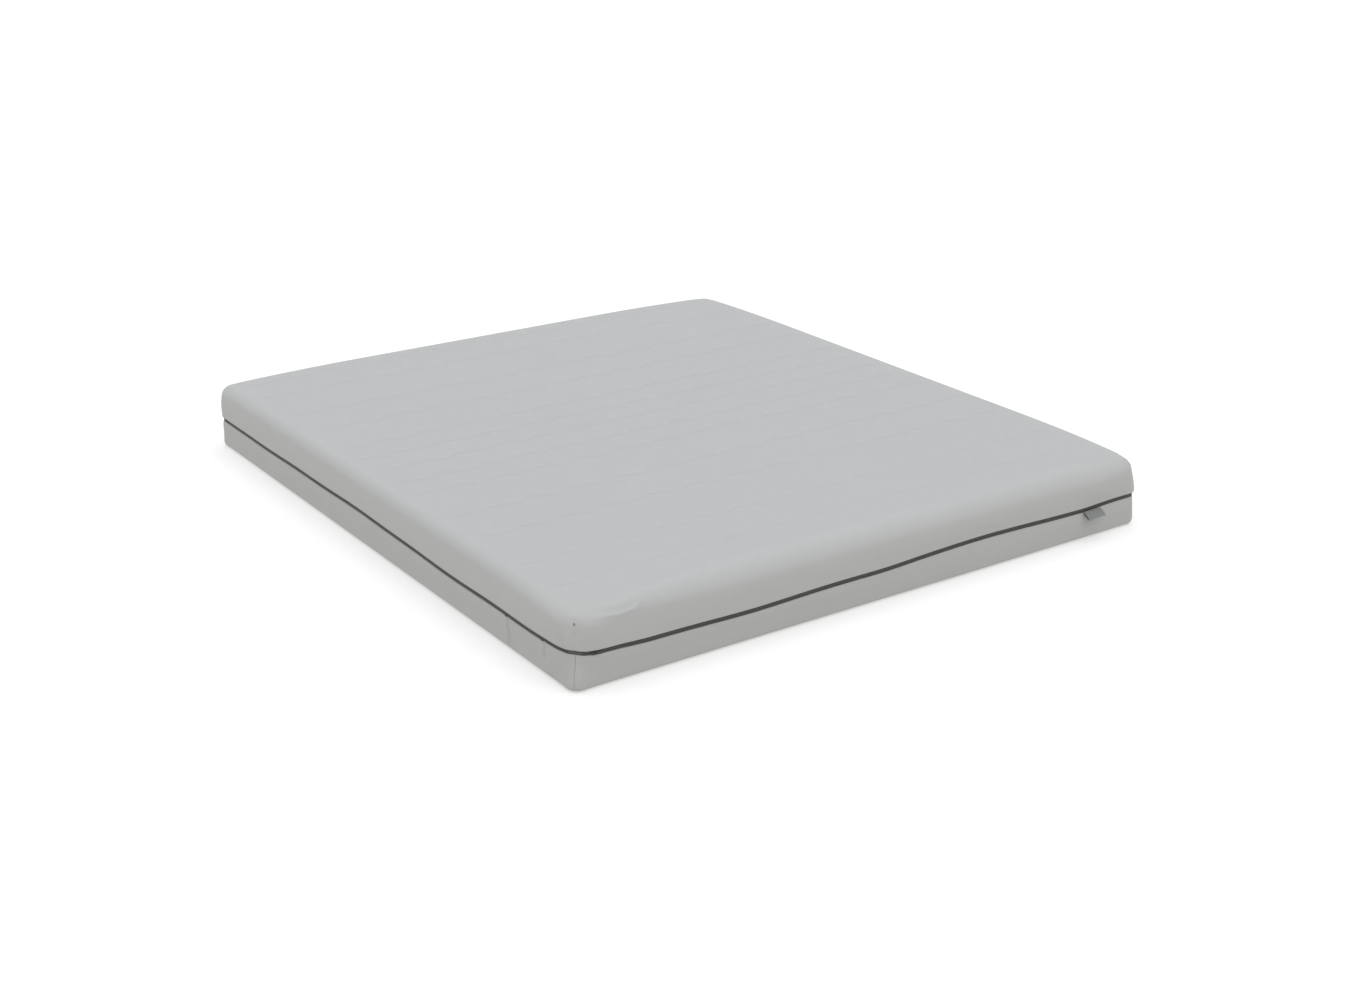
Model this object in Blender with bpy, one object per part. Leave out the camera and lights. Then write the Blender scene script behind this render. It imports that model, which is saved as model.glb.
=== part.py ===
"""Pressure relief mattress: a quilted zip-off cover over a core of three foam layers.

Metres, +Z up. The origin is the centre of the underside. X runs across the width, Y along the
length. The foot end is at -Y. Every wall of the cover follows one rounded outline, so a place on it
is given by how far it lies inside that outline (its inset) and by its height.
"""

import math

import bmesh
import bpy
from mathutils import Matrix, Vector

# Whole mattress
WIDTH = 1.800
LENGTH = 2.000
HEIGHT = 0.200
CORNER_RADIUS = 0.035
TOP_EDGE_RADIUS = 0.032
BOTTOM_EDGE_RADIUS = 0.014
ARC_STEPS = 6  # segments in each quarter turn of the outline
GAP = 0.0003  # between faces that touch

# Cover
CLOTH = 0.0012
TOP_WADDING = 0.0090
BACKING = 0.0008
BORDER_CLOTH = 0.0016
BORDER_STEP = 0.0030  # the lower border stands this far inside the upper one
BASE_CLOTH = 0.0016
BASE_SEAM_INSET = 0.024
FOLD_RADIUS = 0.0035  # cloth turned in beside the zip

# Zip
ZIP_HEIGHT = 0.087
ZIP_OPENING = 0.0045  # from the middle of the zip to the folded cloth
TAPE_INSET = 0.0060
TAPE_THICKNESS = 0.0008
TAPE_WIDTH = 0.0160
TAPE_EDGE = 0.0009  # from the middle of the zip to the edge of each tape
COIL_FRONT = 0.0042
COIL_INNER = 0.0006
COIL_OUTER = 0.0034
WADDING_CLEARANCE = 0.017  # the wadding stops this far from the middle of the zip
END_TAB_FRONT = 0.0028
END_TAB_HALF_HEIGHT = 0.0042
END_TAB_STEPS = 2  # outline segments that the tab covers on each side of the corner

# Slider and pull
SLIDER_X = -0.840
SLIDER_LENGTH = 0.0110
SLIDER_SHOULDER = 0.0038
SLIDER_TAIL = 0.0030
PLATE_THICKNESS = 0.0010
POST_HALF_HEIGHT = 0.0003
ARCH_HALF_LENGTH = 0.0028
ARCH_HALF_HEIGHT = 0.0007
ARCH_POST = 0.0008
ARCH_BEAM = 0.0006
PULL_INSET = 0.0020  # the pull's pivot, midway under the arch
PULL_THICKNESS = 0.0011
PULL_LENGTH = 0.0240
PULL_HALF_WIDTH = 0.0028
PULL_NECK = 0.0022
PULL_WINDOW = (0.00055, 0.0050, 0.0016)  # start, end and half width

# Care label: a loop of tape that stands out from the seam
LABEL_X = 0.720
LABEL_WIDTH = 0.062
LABEL_LENGTH = 0.029
LABEL_HALF_THICKNESS = 0.0026
LABEL_SLOPE = 31  # degrees below level
LABEL_PLY = 0.0004
LABEL_STAND_OFF = 0.0013  # of the loop's root from the border cloth
LABEL_STEPS = 14
LABEL_SEAM = 0.4  # radians of the loop's turn that the seam takes at each end

# Foam core
CORE_INSET = 0.012
CORE_BOTTOM_RADIUS = 0.005
MEMORY_FOAM = 0.040
COMFORT_FOAM = 0.045
CHANNEL_WIDTH = 0.006
CHANNEL_DEPTH = 0.025
SHOULDER_PITCH = 0.100
LUMBAR_PITCH = 0.050
LUMBAR_HALF_LENGTH = 0.330
CHANNEL_MARGIN = 0.090  # from the core's ends to the last channel

# What follows from them
ZIP_TOP = ZIP_HEIGHT + ZIP_OPENING
ZIP_BOTTOM = ZIP_HEIGHT - ZIP_OPENING
WADDING_INSET = CLOTH + GAP
BACKING_INSET = WADDING_INSET + TOP_WADDING + GAP
CORE_TOP = HEIGHT - BACKING_INSET - BACKING - GAP
CORE_BOTTOM = BASE_CLOTH + 2 * GAP
CORE_TOP_RADIUS = TOP_EDGE_RADIUS - CORE_INSET
MEMORY_BOTTOM = CORE_TOP - MEMORY_FOAM
COMFORT_BOTTOM = MEMORY_BOTTOM - GAP - COMFORT_FOAM
FOOT_FACE = -LENGTH / 2
SIDES = {"foot": 2, "right": 3, "head": 0, "left": 1}  # the corner that each side starts from


def material(name, colour, roughness, metallic=0.0):
    made = bpy.data.materials.new(name)
    made.use_nodes = True
    shader = made.node_tree.nodes["Principled BSDF"]
    shader.inputs["Base Color"].default_value = (*colour, 1.0)
    shader.inputs["Roughness"].default_value = roughness
    shader.inputs["Metallic"].default_value = metallic
    return made


def add_object(name, mesh_data, finish, parent, location=(0, 0, 0)):
    """A closed bmesh made into a named object with its faces pointing outwards."""
    bmesh.ops.recalc_face_normals(mesh_data, faces=mesh_data.faces)
    mesh = bpy.data.meshes.new(name)
    mesh_data.to_mesh(mesh)
    mesh_data.free()
    mesh.materials.append(finish)
    made = bpy.data.objects.new(name, mesh)
    made.location = location
    made.parent = parent
    bpy.context.scene.collection.objects.link(made)
    return made


def add_empty(name, parent=None):
    made = bpy.data.objects.new(name, None)
    made.parent = parent
    bpy.context.scene.collection.objects.link(made)
    return made


def arc(centre, radius, start, end, steps=5):
    """Points (inset, height) round a centre, from one angle to the other in degrees."""
    angles = [math.radians(start + (end - start) * step / steps) for step in range(steps + 1)]
    return [(centre[0] + radius * math.cos(a), centre[1] + radius * math.sin(a)) for a in angles]


def thickened(line, thickness):
    """A line of (inset, height) points closed into a strip, with its thickness to the line's left."""
    points = [Vector(point) for point in line]
    runs = [(after - before).normalized() for before, after in zip(points, points[1:])]
    far_side = []
    for index, point in enumerate(points):
        before = runs[max(index - 1, 0)]
        after = runs[min(index, len(runs) - 1)]
        left_before = Vector((-before.y, before.x))
        left_after = Vector((-after.y, after.x))
        mitre = (left_before + left_after).normalized()
        far_side.append(point + mitre * thickness / mitre.dot(left_after))
    return [tuple(point) for point in points + far_side[::-1]]


def outline_stations():
    """The outline, anticlockwise from the +X side, as the centre and angle of each point's arc."""
    stations = []
    for quarter in range(4):
        side_x = 1 if quarter in (0, 3) else -1
        side_y = 1 if quarter in (0, 1) else -1
        centre = Vector((side_x * (WIDTH / 2 - CORNER_RADIUS), side_y * (LENGTH / 2 - CORNER_RADIUS)))
        for step in range(ARC_STEPS + 1):
            stations.append((centre, math.radians(90 * (quarter + step / ARC_STEPS))))
    return stations


def place(station, inset, height, along=0.0):
    """The point of a station at an inset and height, moved a little along the outline."""
    centre, angle = station
    outward = Vector((math.cos(angle), math.sin(angle)))
    tangent = Vector((-math.sin(angle), math.cos(angle)))
    flat = centre + outward * (CORNER_RADIUS - inset) + tangent * along
    return (flat.x, flat.y, height)


def join_rings(mesh_data, rings):
    """Quads between neighbouring rings of vertices, each ring a closed loop, and a face over each end."""
    for near, far in zip(rings, rings[1:]):
        for index in range(len(near)):
            following = (index + 1) % len(near)
            mesh_data.faces.new((near[index], near[following], far[following], far[index]))
    mesh_data.faces.new(rings[0])
    mesh_data.faces.new(rings[-1])


def loft(name, profile, finish, parent):
    """The profile's points carried right round the outline, with its first and last rings filled.

    A profile that runs from the outer top down and back up inside gives an open box, and one
    that runs from the bottom to the top gives a block.
    """
    mesh_data = bmesh.new()
    rings = []
    for inset, height in profile:
        rings.append([mesh_data.verts.new(place(s, inset, height)) for s in outline_stations()])
    join_rings(mesh_data, rings)
    return add_object(name, mesh_data, finish, parent)


def sweep(name, profile, first, last, finish, parent):
    """A closed profile carried along the outline from one station to another, with flat ends."""
    stations = outline_stations()
    mesh_data = bmesh.new()
    sections = []
    for index in range(first, last + 1):
        station = stations[index % len(stations)]
        along = {first: GAP / 2, last: -GAP / 2}.get(index, 0.0)
        sections.append([mesh_data.verts.new(place(station, *point, along)) for point in profile])
    join_rings(mesh_data, sections)
    return add_object(name, mesh_data, finish, parent)


def corner_middle(quarter):
    """The index of the station halfway round a corner."""
    return quarter * (ARC_STEPS + 1) + ARC_STEPS // 2


def prism(outline, low, high, across):
    """A closed bmesh: an outline in the other two axes, extruded from low to high along one."""
    mesh_data = bmesh.new()
    order = {"x": (2, 0, 1), "y": (0, 2, 1), "z": (0, 1, 2)}[across]
    ends = []
    for level in (low, high):
        ring = []
        for point in outline:
            values = (*point, level)
            ring.append(mesh_data.verts.new([values[order[axis]] for axis in range(3)]))
        ends.append(ring)
    join_rings(mesh_data, ends)
    return mesh_data


def combine(target, other, operation):
    """A Boolean with a helper that is hidden and left out of the model."""
    other.hide_render = True
    other.display_type = "WIRE"
    modifier = target.modifiers.new(other.name, "BOOLEAN")
    modifier.operation = operation
    modifier.solver = "EXACT"
    modifier.object = other


def box_outline(low_a, high_a, low_b, high_b):
    return [(low_a, low_b), (high_a, low_b), (high_a, high_b), (low_a, high_b)]


def top_layer(name, inset, thickness, bottom, finish, parent):
    """One layer of the top cover: a flat top with a rounded edge and straight walls."""
    edge = (TOP_EDGE_RADIUS, HEIGHT - TOP_EDGE_RADIUS)
    line = arc(edge, TOP_EDGE_RADIUS - inset, 90, 180) + [(inset, bottom)]
    return loft(name, thickened(line, thickness), finish, parent)


def make_top_cloth(finish, parent):
    """The face cloth, one piece over the top and down the border, turned in beside the zip."""
    edge = (TOP_EDGE_RADIUS, HEIGHT - TOP_EDGE_RADIUS)
    fold = (FOLD_RADIUS, ZIP_TOP + FOLD_RADIUS)
    line = arc(edge, TOP_EDGE_RADIUS, 90, 180)
    line += arc(fold, FOLD_RADIUS, 180, 270, steps=3)
    line.append((TAPE_INSET - GAP, ZIP_TOP))
    return loft("top_cloth", thickened(line, CLOTH), finish, parent)


def make_border_strips(cloth, wadding, parent):
    """The lower border: a strip of cloth and a strip of wadding on each side, met at the corners."""
    outer = BORDER_STEP
    bottom = BOTTOM_EDGE_RADIUS + GAP
    fold = (outer + FOLD_RADIUS / 2, ZIP_BOTTOM - FOLD_RADIUS / 2)
    edge = (outer + BOTTOM_EDGE_RADIUS, bottom)
    line = [(TAPE_INSET - GAP, ZIP_BOTTOM)]
    line += arc(fold, FOLD_RADIUS / 2, 90, 180, steps=3)
    line += arc(edge, BOTTOM_EDGE_RADIUS, 180, 270)
    line.append((BASE_SEAM_INSET, GAP))
    cloth_profile = thickened(line, BORDER_CLOTH)

    front = outer + BORDER_CLOTH + GAP
    back = CORE_INSET - GAP
    radius = BOTTOM_EDGE_RADIUS - BORDER_CLOTH - GAP
    last_angle = 180 + math.degrees(math.acos((edge[0] - back) / radius))
    wadding_profile = [(back, ZIP_HEIGHT - WADDING_CLEARANCE), (front, ZIP_HEIGHT - WADDING_CLEARANCE)]
    wadding_profile += arc(edge, radius, 180, last_angle, steps=3)
    for side, quarter in SIDES.items():
        first = corner_middle(quarter)
        last = first + ARC_STEPS + 1
        sweep(f"border_cloth_{side}", cloth_profile, first, last, cloth, parent)
        sweep(f"border_wadding_{side}", wadding_profile, first, last, wadding, parent)


def make_zip(half, side, finish, parent):
    """One half of the zip, from corner to corner all the way round: its woven tape and its coil."""
    first = corner_middle(2)
    last = first + 4 * (ARC_STEPS + 1)
    tape_back = TAPE_INSET + TAPE_THICKNESS
    tape = box_outline(TAPE_INSET, tape_back, ZIP_HEIGHT + side * TAPE_EDGE, ZIP_HEIGHT + side * TAPE_WIDTH)
    sweep(f"{half}_zip_tape", tape, first, last, finish, parent)
    middle = (COIL_INNER + COIL_OUTER) / 2
    coil_back = TAPE_INSET - GAP
    coil_middle = (COIL_FRONT + coil_back) / 2
    coil = [
        (coil_back, ZIP_HEIGHT + side * COIL_INNER),
        (coil_middle, ZIP_HEIGHT + side * COIL_INNER),
        (COIL_FRONT, ZIP_HEIGHT + side * (COIL_INNER + middle) / 2),
        (COIL_FRONT, ZIP_HEIGHT + side * (COIL_OUTER + middle) / 2),
        (coil_middle, ZIP_HEIGHT + side * COIL_OUTER),
        (coil_back, ZIP_HEIGHT + side * COIL_OUTER),
    ]
    sweep(f"{half}_zip_coil", coil, first, last, finish, parent)


def make_end_tab(finish, parent):
    """The scrap of tape sewn over the corner where the two ends of the zip meet."""
    middle = corner_middle(2)
    profile = box_outline(
        END_TAB_FRONT,
        COIL_FRONT - GAP,
        ZIP_HEIGHT - END_TAB_HALF_HEIGHT,
        ZIP_HEIGHT + END_TAB_HALF_HEIGHT,
    )
    sweep("zip_end_tab", profile, middle - END_TAB_STEPS, middle + END_TAB_STEPS, finish, parent)


def make_care_label(finish, parent):
    """A loop of tape sewn into the zip seam by its two ends, with no print on it.

    Seen from its side it is a teardrop: pointed at the seam, round at the fold, and open between.
    """
    root = Vector((BORDER_STEP - LABEL_STAND_OFF, ZIP_BOTTOM - FOLD_RADIUS / 2))
    slope = math.radians(LABEL_SLOPE)
    outward = Vector((-math.cos(slope), -math.sin(slope)))
    upward = Vector((-math.sin(slope), math.cos(slope)))
    line = []
    for step in range(LABEL_STEPS + 1):
        turn = LABEL_SEAM + (2 * math.pi - 2 * LABEL_SEAM) * step / LABEL_STEPS
        along = LABEL_LENGTH * (math.cos(LABEL_SEAM) - math.cos(turn)) / 2
        across = LABEL_HALF_THICKNESS * math.sin(turn)
        line.append(root + outward * along + upward * across)
    outline = [(FOOT_FACE + inset, height) for inset, height in thickened(line, LABEL_PLY)]
    mesh_data = prism(outline, LABEL_X - LABEL_WIDTH / 2, LABEL_X + LABEL_WIDTH / 2, "x")
    return add_object("care_label", mesh_data, finish, parent)


def make_base_cloth(finish, parent):
    """The flat panel on the underside."""
    inset = BASE_SEAM_INSET + GAP
    return loft("base_cloth", [(inset, 0.0), (inset, BASE_CLOTH)], finish, parent)


def foam_block(name, bottom, top, bottom_radius, top_radius, finish, parent):
    """A slab of foam that fills the cover's outline, with rounded lower and upper edges."""
    profile = []
    if bottom_radius:
        centre = (CORE_INSET + bottom_radius, bottom + bottom_radius)
        profile += arc(centre, bottom_radius, 270, 180, steps=3)
    else:
        profile.append((CORE_INSET, bottom))
    if top_radius:
        centre = (CORE_INSET + top_radius, top - top_radius)
        profile += arc(centre, top_radius, 180, 90)
    else:
        profile.append((CORE_INSET, top))
    return loft(name, profile, finish, parent)


def channel_places():
    """Places of the cut channels along Y: close together under the hips, wider towards the ends."""
    places = []
    y = LUMBAR_PITCH / 2
    while y < LENGTH / 2 - CORE_INSET - CHANNEL_MARGIN:
        places += [y, -y]
        y += LUMBAR_PITCH if y < LUMBAR_HALF_LENGTH else SHOULDER_PITCH
    return places


def make_comfort_foam(finish, parent):
    """The middle layer, with channels cut across its top so that each zone gives differently."""
    slab = foam_block("comfort_foam", COMFORT_BOTTOM, COMFORT_BOTTOM + COMFORT_FOAM, 0, 0, finish, parent)
    cuts = bmesh.new()
    top = COMFORT_BOTTOM + COMFORT_FOAM
    size = Matrix.Diagonal((WIDTH, CHANNEL_WIDTH, 2 * CHANNEL_DEPTH, 1))
    for y in channel_places():
        bmesh.ops.create_cube(cuts, size=1, matrix=Matrix.Translation((0, y, top)) @ size)
    cutter = add_object("channel_cutter", cuts, finish, parent)
    combine(slab, cutter, "DIFFERENCE")
    return slab


def make_slider(finish, parent):
    """Two plates, one before and one behind the coils, a post between them and an arch in front.

    There are no flanges over the top coil, so the top half of the zip lifts straight out.
    """
    half = SLIDER_LENGTH / 2
    plate = [
        (-half, -SLIDER_TAIL), (0, -SLIDER_SHOULDER), (half, -SLIDER_SHOULDER),
        (half, SLIDER_SHOULDER), (0, SLIDER_SHOULDER), (-half, SLIDER_TAIL),
    ]
    front = COIL_FRONT - GAP - PLATE_THICKNESS
    back = TAPE_INSET + TAPE_THICKNESS + GAP
    location = (SLIDER_X, FOOT_FACE, ZIP_HEIGHT)
    body = add_object("zip_slider", prism(plate, front, front + PLATE_THICKNESS, "y"), finish, parent, location)
    bite = PLATE_THICKNESS / 4
    post = box_outline(0, half - bite, -POST_HALF_HEIGHT, POST_HALF_HEIGHT)
    arch_top = front - 2 * (front - PULL_INSET) - ARCH_BEAM
    arch = [
        (-ARCH_HALF_LENGTH, front + bite), (-ARCH_HALF_LENGTH, arch_top),
        (ARCH_HALF_LENGTH, arch_top), (ARCH_HALF_LENGTH, front + bite),
        (ARCH_HALF_LENGTH - ARCH_POST, front + bite), (ARCH_HALF_LENGTH - ARCH_POST, arch_top + ARCH_BEAM),
        (ARCH_POST - ARCH_HALF_LENGTH, arch_top + ARCH_BEAM), (ARCH_POST - ARCH_HALF_LENGTH, front + bite),
    ]
    helpers = {
        "slider_back_plate": prism(plate, back, back + PLATE_THICKNESS, "y"),
        "slider_post": prism(post, front + bite, back + bite, "y"),
        "slider_arch": prism(arch, -ARCH_HALF_HEIGHT, ARCH_HALF_HEIGHT, "z"),
    }
    for name, shape in helpers.items():
        combine(body, add_object(name, shape, finish, parent, location), "UNION")
    return body


def make_pull(finish, slider):
    """The pull tab: a window round the arch, a neck and a grip, flat along the zip at rest."""
    outline = [
        (-PULL_WINDOW[0], -PULL_HALF_WIDTH), (PULL_WINDOW[1], -PULL_HALF_WIDTH),
        (PULL_WINDOW[1] + 0.002, -PULL_NECK), (PULL_LENGTH - 0.004, -PULL_HALF_WIDTH),
        (PULL_LENGTH - 0.001, -PULL_NECK), (PULL_LENGTH, 0),
    ]
    outline += [(x, -z) for x, z in reversed(outline[:-1])]
    thin = PULL_THICKNESS / 2
    location = Vector((0, PULL_INSET, 0))
    pull = add_object("zip_pull", prism(outline, -thin, thin, "y"), finish, slider, location)
    start, end, half_width = PULL_WINDOW
    window = prism(box_outline(start, end, -half_width, half_width), -2 * thin, 2 * thin, "y")
    combine(pull, add_object("pull_window", window, finish, slider, location), "DIFFERENCE")
    return pull


def main():
    for old in list(bpy.data.objects):
        bpy.data.objects.remove(old, do_unlink=True)

    knit = material("quilted_knit", (0.52, 0.53, 0.535), 0.9)
    border = material("border_knit", (0.46, 0.465, 0.46), 0.9)
    wadding = material("wadding", (0.84, 0.84, 0.82), 0.95)
    backing = material("backing", (0.75, 0.75, 0.75), 0.9)
    underside = material("anti_slip_cloth", (0.30, 0.31, 0.32), 0.9)
    zip_cloth = material("zip_grey", (0.075, 0.078, 0.070), 0.6)
    slider_metal = material("slider_coating", (0.060, 0.062, 0.058), 0.45, 0.3)
    label = material("label_tape", (0.24, 0.25, 0.25), 0.6)
    support = material("support_foam", (0.86, 0.85, 0.80), 0.95)
    comfort = material("comfort_foam", (0.55, 0.68, 0.74), 0.95)
    memory = material("memory_foam", (0.88, 0.83, 0.66), 0.95)

    bottom_cover = add_empty("bottom_cover")
    core = add_empty("foam_core", bottom_cover)
    top_cover = add_empty("top_cover")
    wadding_bottom = ZIP_HEIGHT + WADDING_CLEARANCE

    make_top_cloth(knit, top_cover)
    top_layer("top_wadding", WADDING_INSET, TOP_WADDING, wadding_bottom, wadding, top_cover)
    top_layer("top_backing", BACKING_INSET, BACKING, wadding_bottom, backing, top_cover)
    make_zip("upper", 1, zip_cloth, top_cover)

    make_zip("lower", -1, zip_cloth, bottom_cover)
    make_end_tab(zip_cloth, bottom_cover)
    make_border_strips(border, wadding, bottom_cover)
    make_base_cloth(underside, bottom_cover)
    make_care_label(label, bottom_cover)

    support_top = COMFORT_BOTTOM - GAP
    foam_block("support_foam", CORE_BOTTOM, support_top, CORE_BOTTOM_RADIUS, 0, support, core)
    make_comfort_foam(comfort, core)
    foam_block("memory_foam", MEMORY_BOTTOM, CORE_TOP, 0, CORE_TOP_RADIUS, memory, core)

    slider = make_slider(slider_metal, bottom_cover)
    make_pull(slider_metal, slider)


main()
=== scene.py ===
import math

import bmesh
import bpy
import numpy as np
from mathutils import Matrix, Vector


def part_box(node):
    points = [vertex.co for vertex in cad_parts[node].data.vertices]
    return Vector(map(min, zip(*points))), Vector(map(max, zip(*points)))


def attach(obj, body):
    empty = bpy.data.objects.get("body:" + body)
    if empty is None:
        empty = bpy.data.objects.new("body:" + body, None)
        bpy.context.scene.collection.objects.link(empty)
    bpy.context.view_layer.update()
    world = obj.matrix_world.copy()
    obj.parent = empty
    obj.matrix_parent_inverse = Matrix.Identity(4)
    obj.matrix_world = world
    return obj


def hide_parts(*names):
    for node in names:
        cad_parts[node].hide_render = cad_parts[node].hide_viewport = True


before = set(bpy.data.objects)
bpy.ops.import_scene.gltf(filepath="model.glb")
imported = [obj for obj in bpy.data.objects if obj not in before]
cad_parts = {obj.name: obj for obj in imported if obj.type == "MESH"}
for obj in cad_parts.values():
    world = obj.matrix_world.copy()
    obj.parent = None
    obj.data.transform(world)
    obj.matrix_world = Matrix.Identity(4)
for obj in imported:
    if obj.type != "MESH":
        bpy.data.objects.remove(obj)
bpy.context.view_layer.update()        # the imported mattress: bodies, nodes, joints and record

# Sizes read from the frame. An inset is a distance inside the mattress's outline.
topLow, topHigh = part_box("top_cloth")
halfWidth, halfLength, height = topHigh.x, topHigh.y, topHigh.z
hemTop = topLow.z                                        # folded edge of the upper cloth
borderLow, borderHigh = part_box("border_cloth_foot")
hemBottom = borderHigh.z                                 # folded edge of the lower border
borderInset = halfLength + borderLow.y
zipHeight = (hemTop + hemBottom) / 2
hemGap = 0.0016                                          # each soft hem lies this much further off
hemTop, hemBottom = hemTop + hemGap, hemBottom - hemGap
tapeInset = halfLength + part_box("upper_zip_tape")[0].y
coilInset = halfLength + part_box("upper_zip_coil")[0].y
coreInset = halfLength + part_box("memory_foam")[0].y
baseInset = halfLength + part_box("base_cloth")[0].y

cover = {
    "cornerRadius": 0.035,
    "topEdge": 0.032,        # radius of the top's rounded edge
    "bottomEdge": 0.014,     # radius of the lower border's rounded edge
    "droop": 0.011,          # how far the top corners sink
    "droopReach": 0.47,      # from the corner along each side
    "nearPull": 0.021,       # how far the corner over the zip's ends draws in above the zip
    "topPull": 0.009,        # how far every corner draws in at the top
    "cornerPush": 0.004,     # how far they stand out at the floor
    "cornerReach": 0.080,
    "rightMore": 0.35,       # the right corners draw in by this much more, the left ones less
    "footMore": 0.25,        # and those at the foot end by this much on top
    "nearDroop": 0.016,      # extra sinking of the corner over the zip's ends
    "nearReach": 0.28,
    "slackRight": 0.5,       # the share of that sinking at the foot end's right corner
    "rimDrop": 0.0022,       # the top rolls off by this much before its edge
    "rimReach": 0.050,
    "swell": 0.0016,         # fullness of the upper border
    "footRound": 0.70,       # by how much rounder the foot end's top edge is
    "footRoundLeast": 0.28,  # and the share of that at its left end
    "clearance": 0.0003,     # between layers that touch
}
coreX, coreY = halfWidth - cover["cornerRadius"], halfLength - cover["cornerRadius"]


def smoothStep(value):
    # rises from 0 to 1 as value does, level at both ends
    value = np.clip(value, 0, 1)
    return value * value * (3 - 2 * value)


def bump(value, middle, width):
    # a bell: 1 at the middle, falling off over the width
    return np.exp(-((value - middle) / width) ** 2)


def ripple(u, v, size, seed):
    # ten sine waves of about one size in seeded directions, added up: about -1 to 1
    draw = np.random.default_rng(seed)
    total = 0
    for _ in range(10):
        turn, stretch, phase = draw.uniform(0, 2 * np.pi), draw.uniform(0.6, 1.6), draw.uniform(0, 6.3)
        total = total + np.sin((u * np.cos(turn) + v * np.sin(turn)) * 2 * np.pi / (size * stretch) + phase)
    return total / 4.5


def arcLine(centre, radius, start, end, steps):
    # points (inset, height) round a centre, by cosine and sine of evenly stepped angles in degrees
    turn = np.radians(np.linspace(start, end, steps + 1))
    return np.stack([centre[0] + radius * np.cos(turn), centre[1] + radius * np.sin(turn)], 1)


def spaced(start, end, step):
    # evenly spaced places, about a step apart
    return start + (end - start) * np.linspace(0, 1, max(2, int(round((end - start) / step))) + 1)


def outline(xs, ys, arcSteps=12):
    # Stations round the mattress, anticlockwise from the middle of the corner where the zip ends.
    # Each is a core point (xs along the ends, ys along the sides) and an outward direction, which
    # turns a quarter about each corner. Steps crowd to the middle of the corner, where a seam runs.
    a, b, columns, rows = xs[-1], ys[-1], len(xs), len(ys)
    share = np.linspace(-1, 1, arcSteps + 1)[1:-1]
    turn = np.pi / 4 * (1 + np.sign(share) * np.abs(share) ** 1.7)
    middle = arcSteps // 2 - 1
    across, along = np.arange(columns), np.arange(rows)
    runs = [
        (-a, -b, np.pi + turn[middle:], 0),
        (xs, -b, 1.5 * np.pi, across),
        (a, -b, 1.5 * np.pi + turn, columns - 1),
        (a, ys, 2 * np.pi, along * columns + columns - 1),
        (a, b, 2 * np.pi + turn, rows * columns - 1),
        (xs[::-1], b, 2.5 * np.pi, (rows - 1) * columns + across[::-1]),
        (-a, b, 2.5 * np.pi + turn, (rows - 1) * columns),
        (-a, ys[::-1], 3 * np.pi, along[::-1] * columns),
        (-a, -b, 3 * np.pi + turn[:middle], 0),
    ]
    parts = [np.stack(np.broadcast_arrays(*map(np.atleast_1d, run)), 1) for run in runs]
    table = np.concatenate(parts).astype(float)
    core, angle, corner = table[:, :2], table[:, 2], table[:, 3].astype(int)
    normal = np.stack([np.cos(angle), np.sin(angle)], 1)
    rim = core + normal * cover["cornerRadius"]
    step = np.linalg.norm(np.roll(rim, -1, 0) - rim, axis=1)
    return {
        "core": core, "normal": normal, "grid": corner,
        "along": np.concatenate([[0], np.cumsum(step)[:-1]]), "round": step.sum(),
    }


def opened(stations):
    # the same stations with the first one repeated at the end, for a strip with two ends. The ends
    # stand a hair apart, by a small turn of their directions
    twice = {key: np.concatenate([stations[key], stations[key][:1]]) for key in ("core", "normal", "grid")}
    twice["normal"][[0, -1]] += [[0.004, -0.004], [-0.004, 0.004]]
    return {**twice, "along": np.append(stations["along"], stations["round"]), "round": stations["round"]}


def cut(stations, first, last):
    # the stations from one to another
    return {key: value if key == "round" else value[first:last + 1] for key, value in stations.items()}


def nearness(x, y, reach):
    # 1 at a corner's point, falling to 0 over a reach along each side
    toSide, toEnd = (halfWidth - np.abs(x)) / reach, (halfLength - np.abs(y)) / reach
    return np.clip(1 - toSide, 0, 1) * np.clip(1 - toEnd, 0, 1)


def rounder(distance, radius, fade):
    # a distance into an edge, stretched within its radius and fading back beyond: d + share r g(d / r)
    share = np.clip(distance / radius, 0, None)
    return radius * np.where(share < 1, share, smoothStep(1 - (share - 1) / fade))


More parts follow.
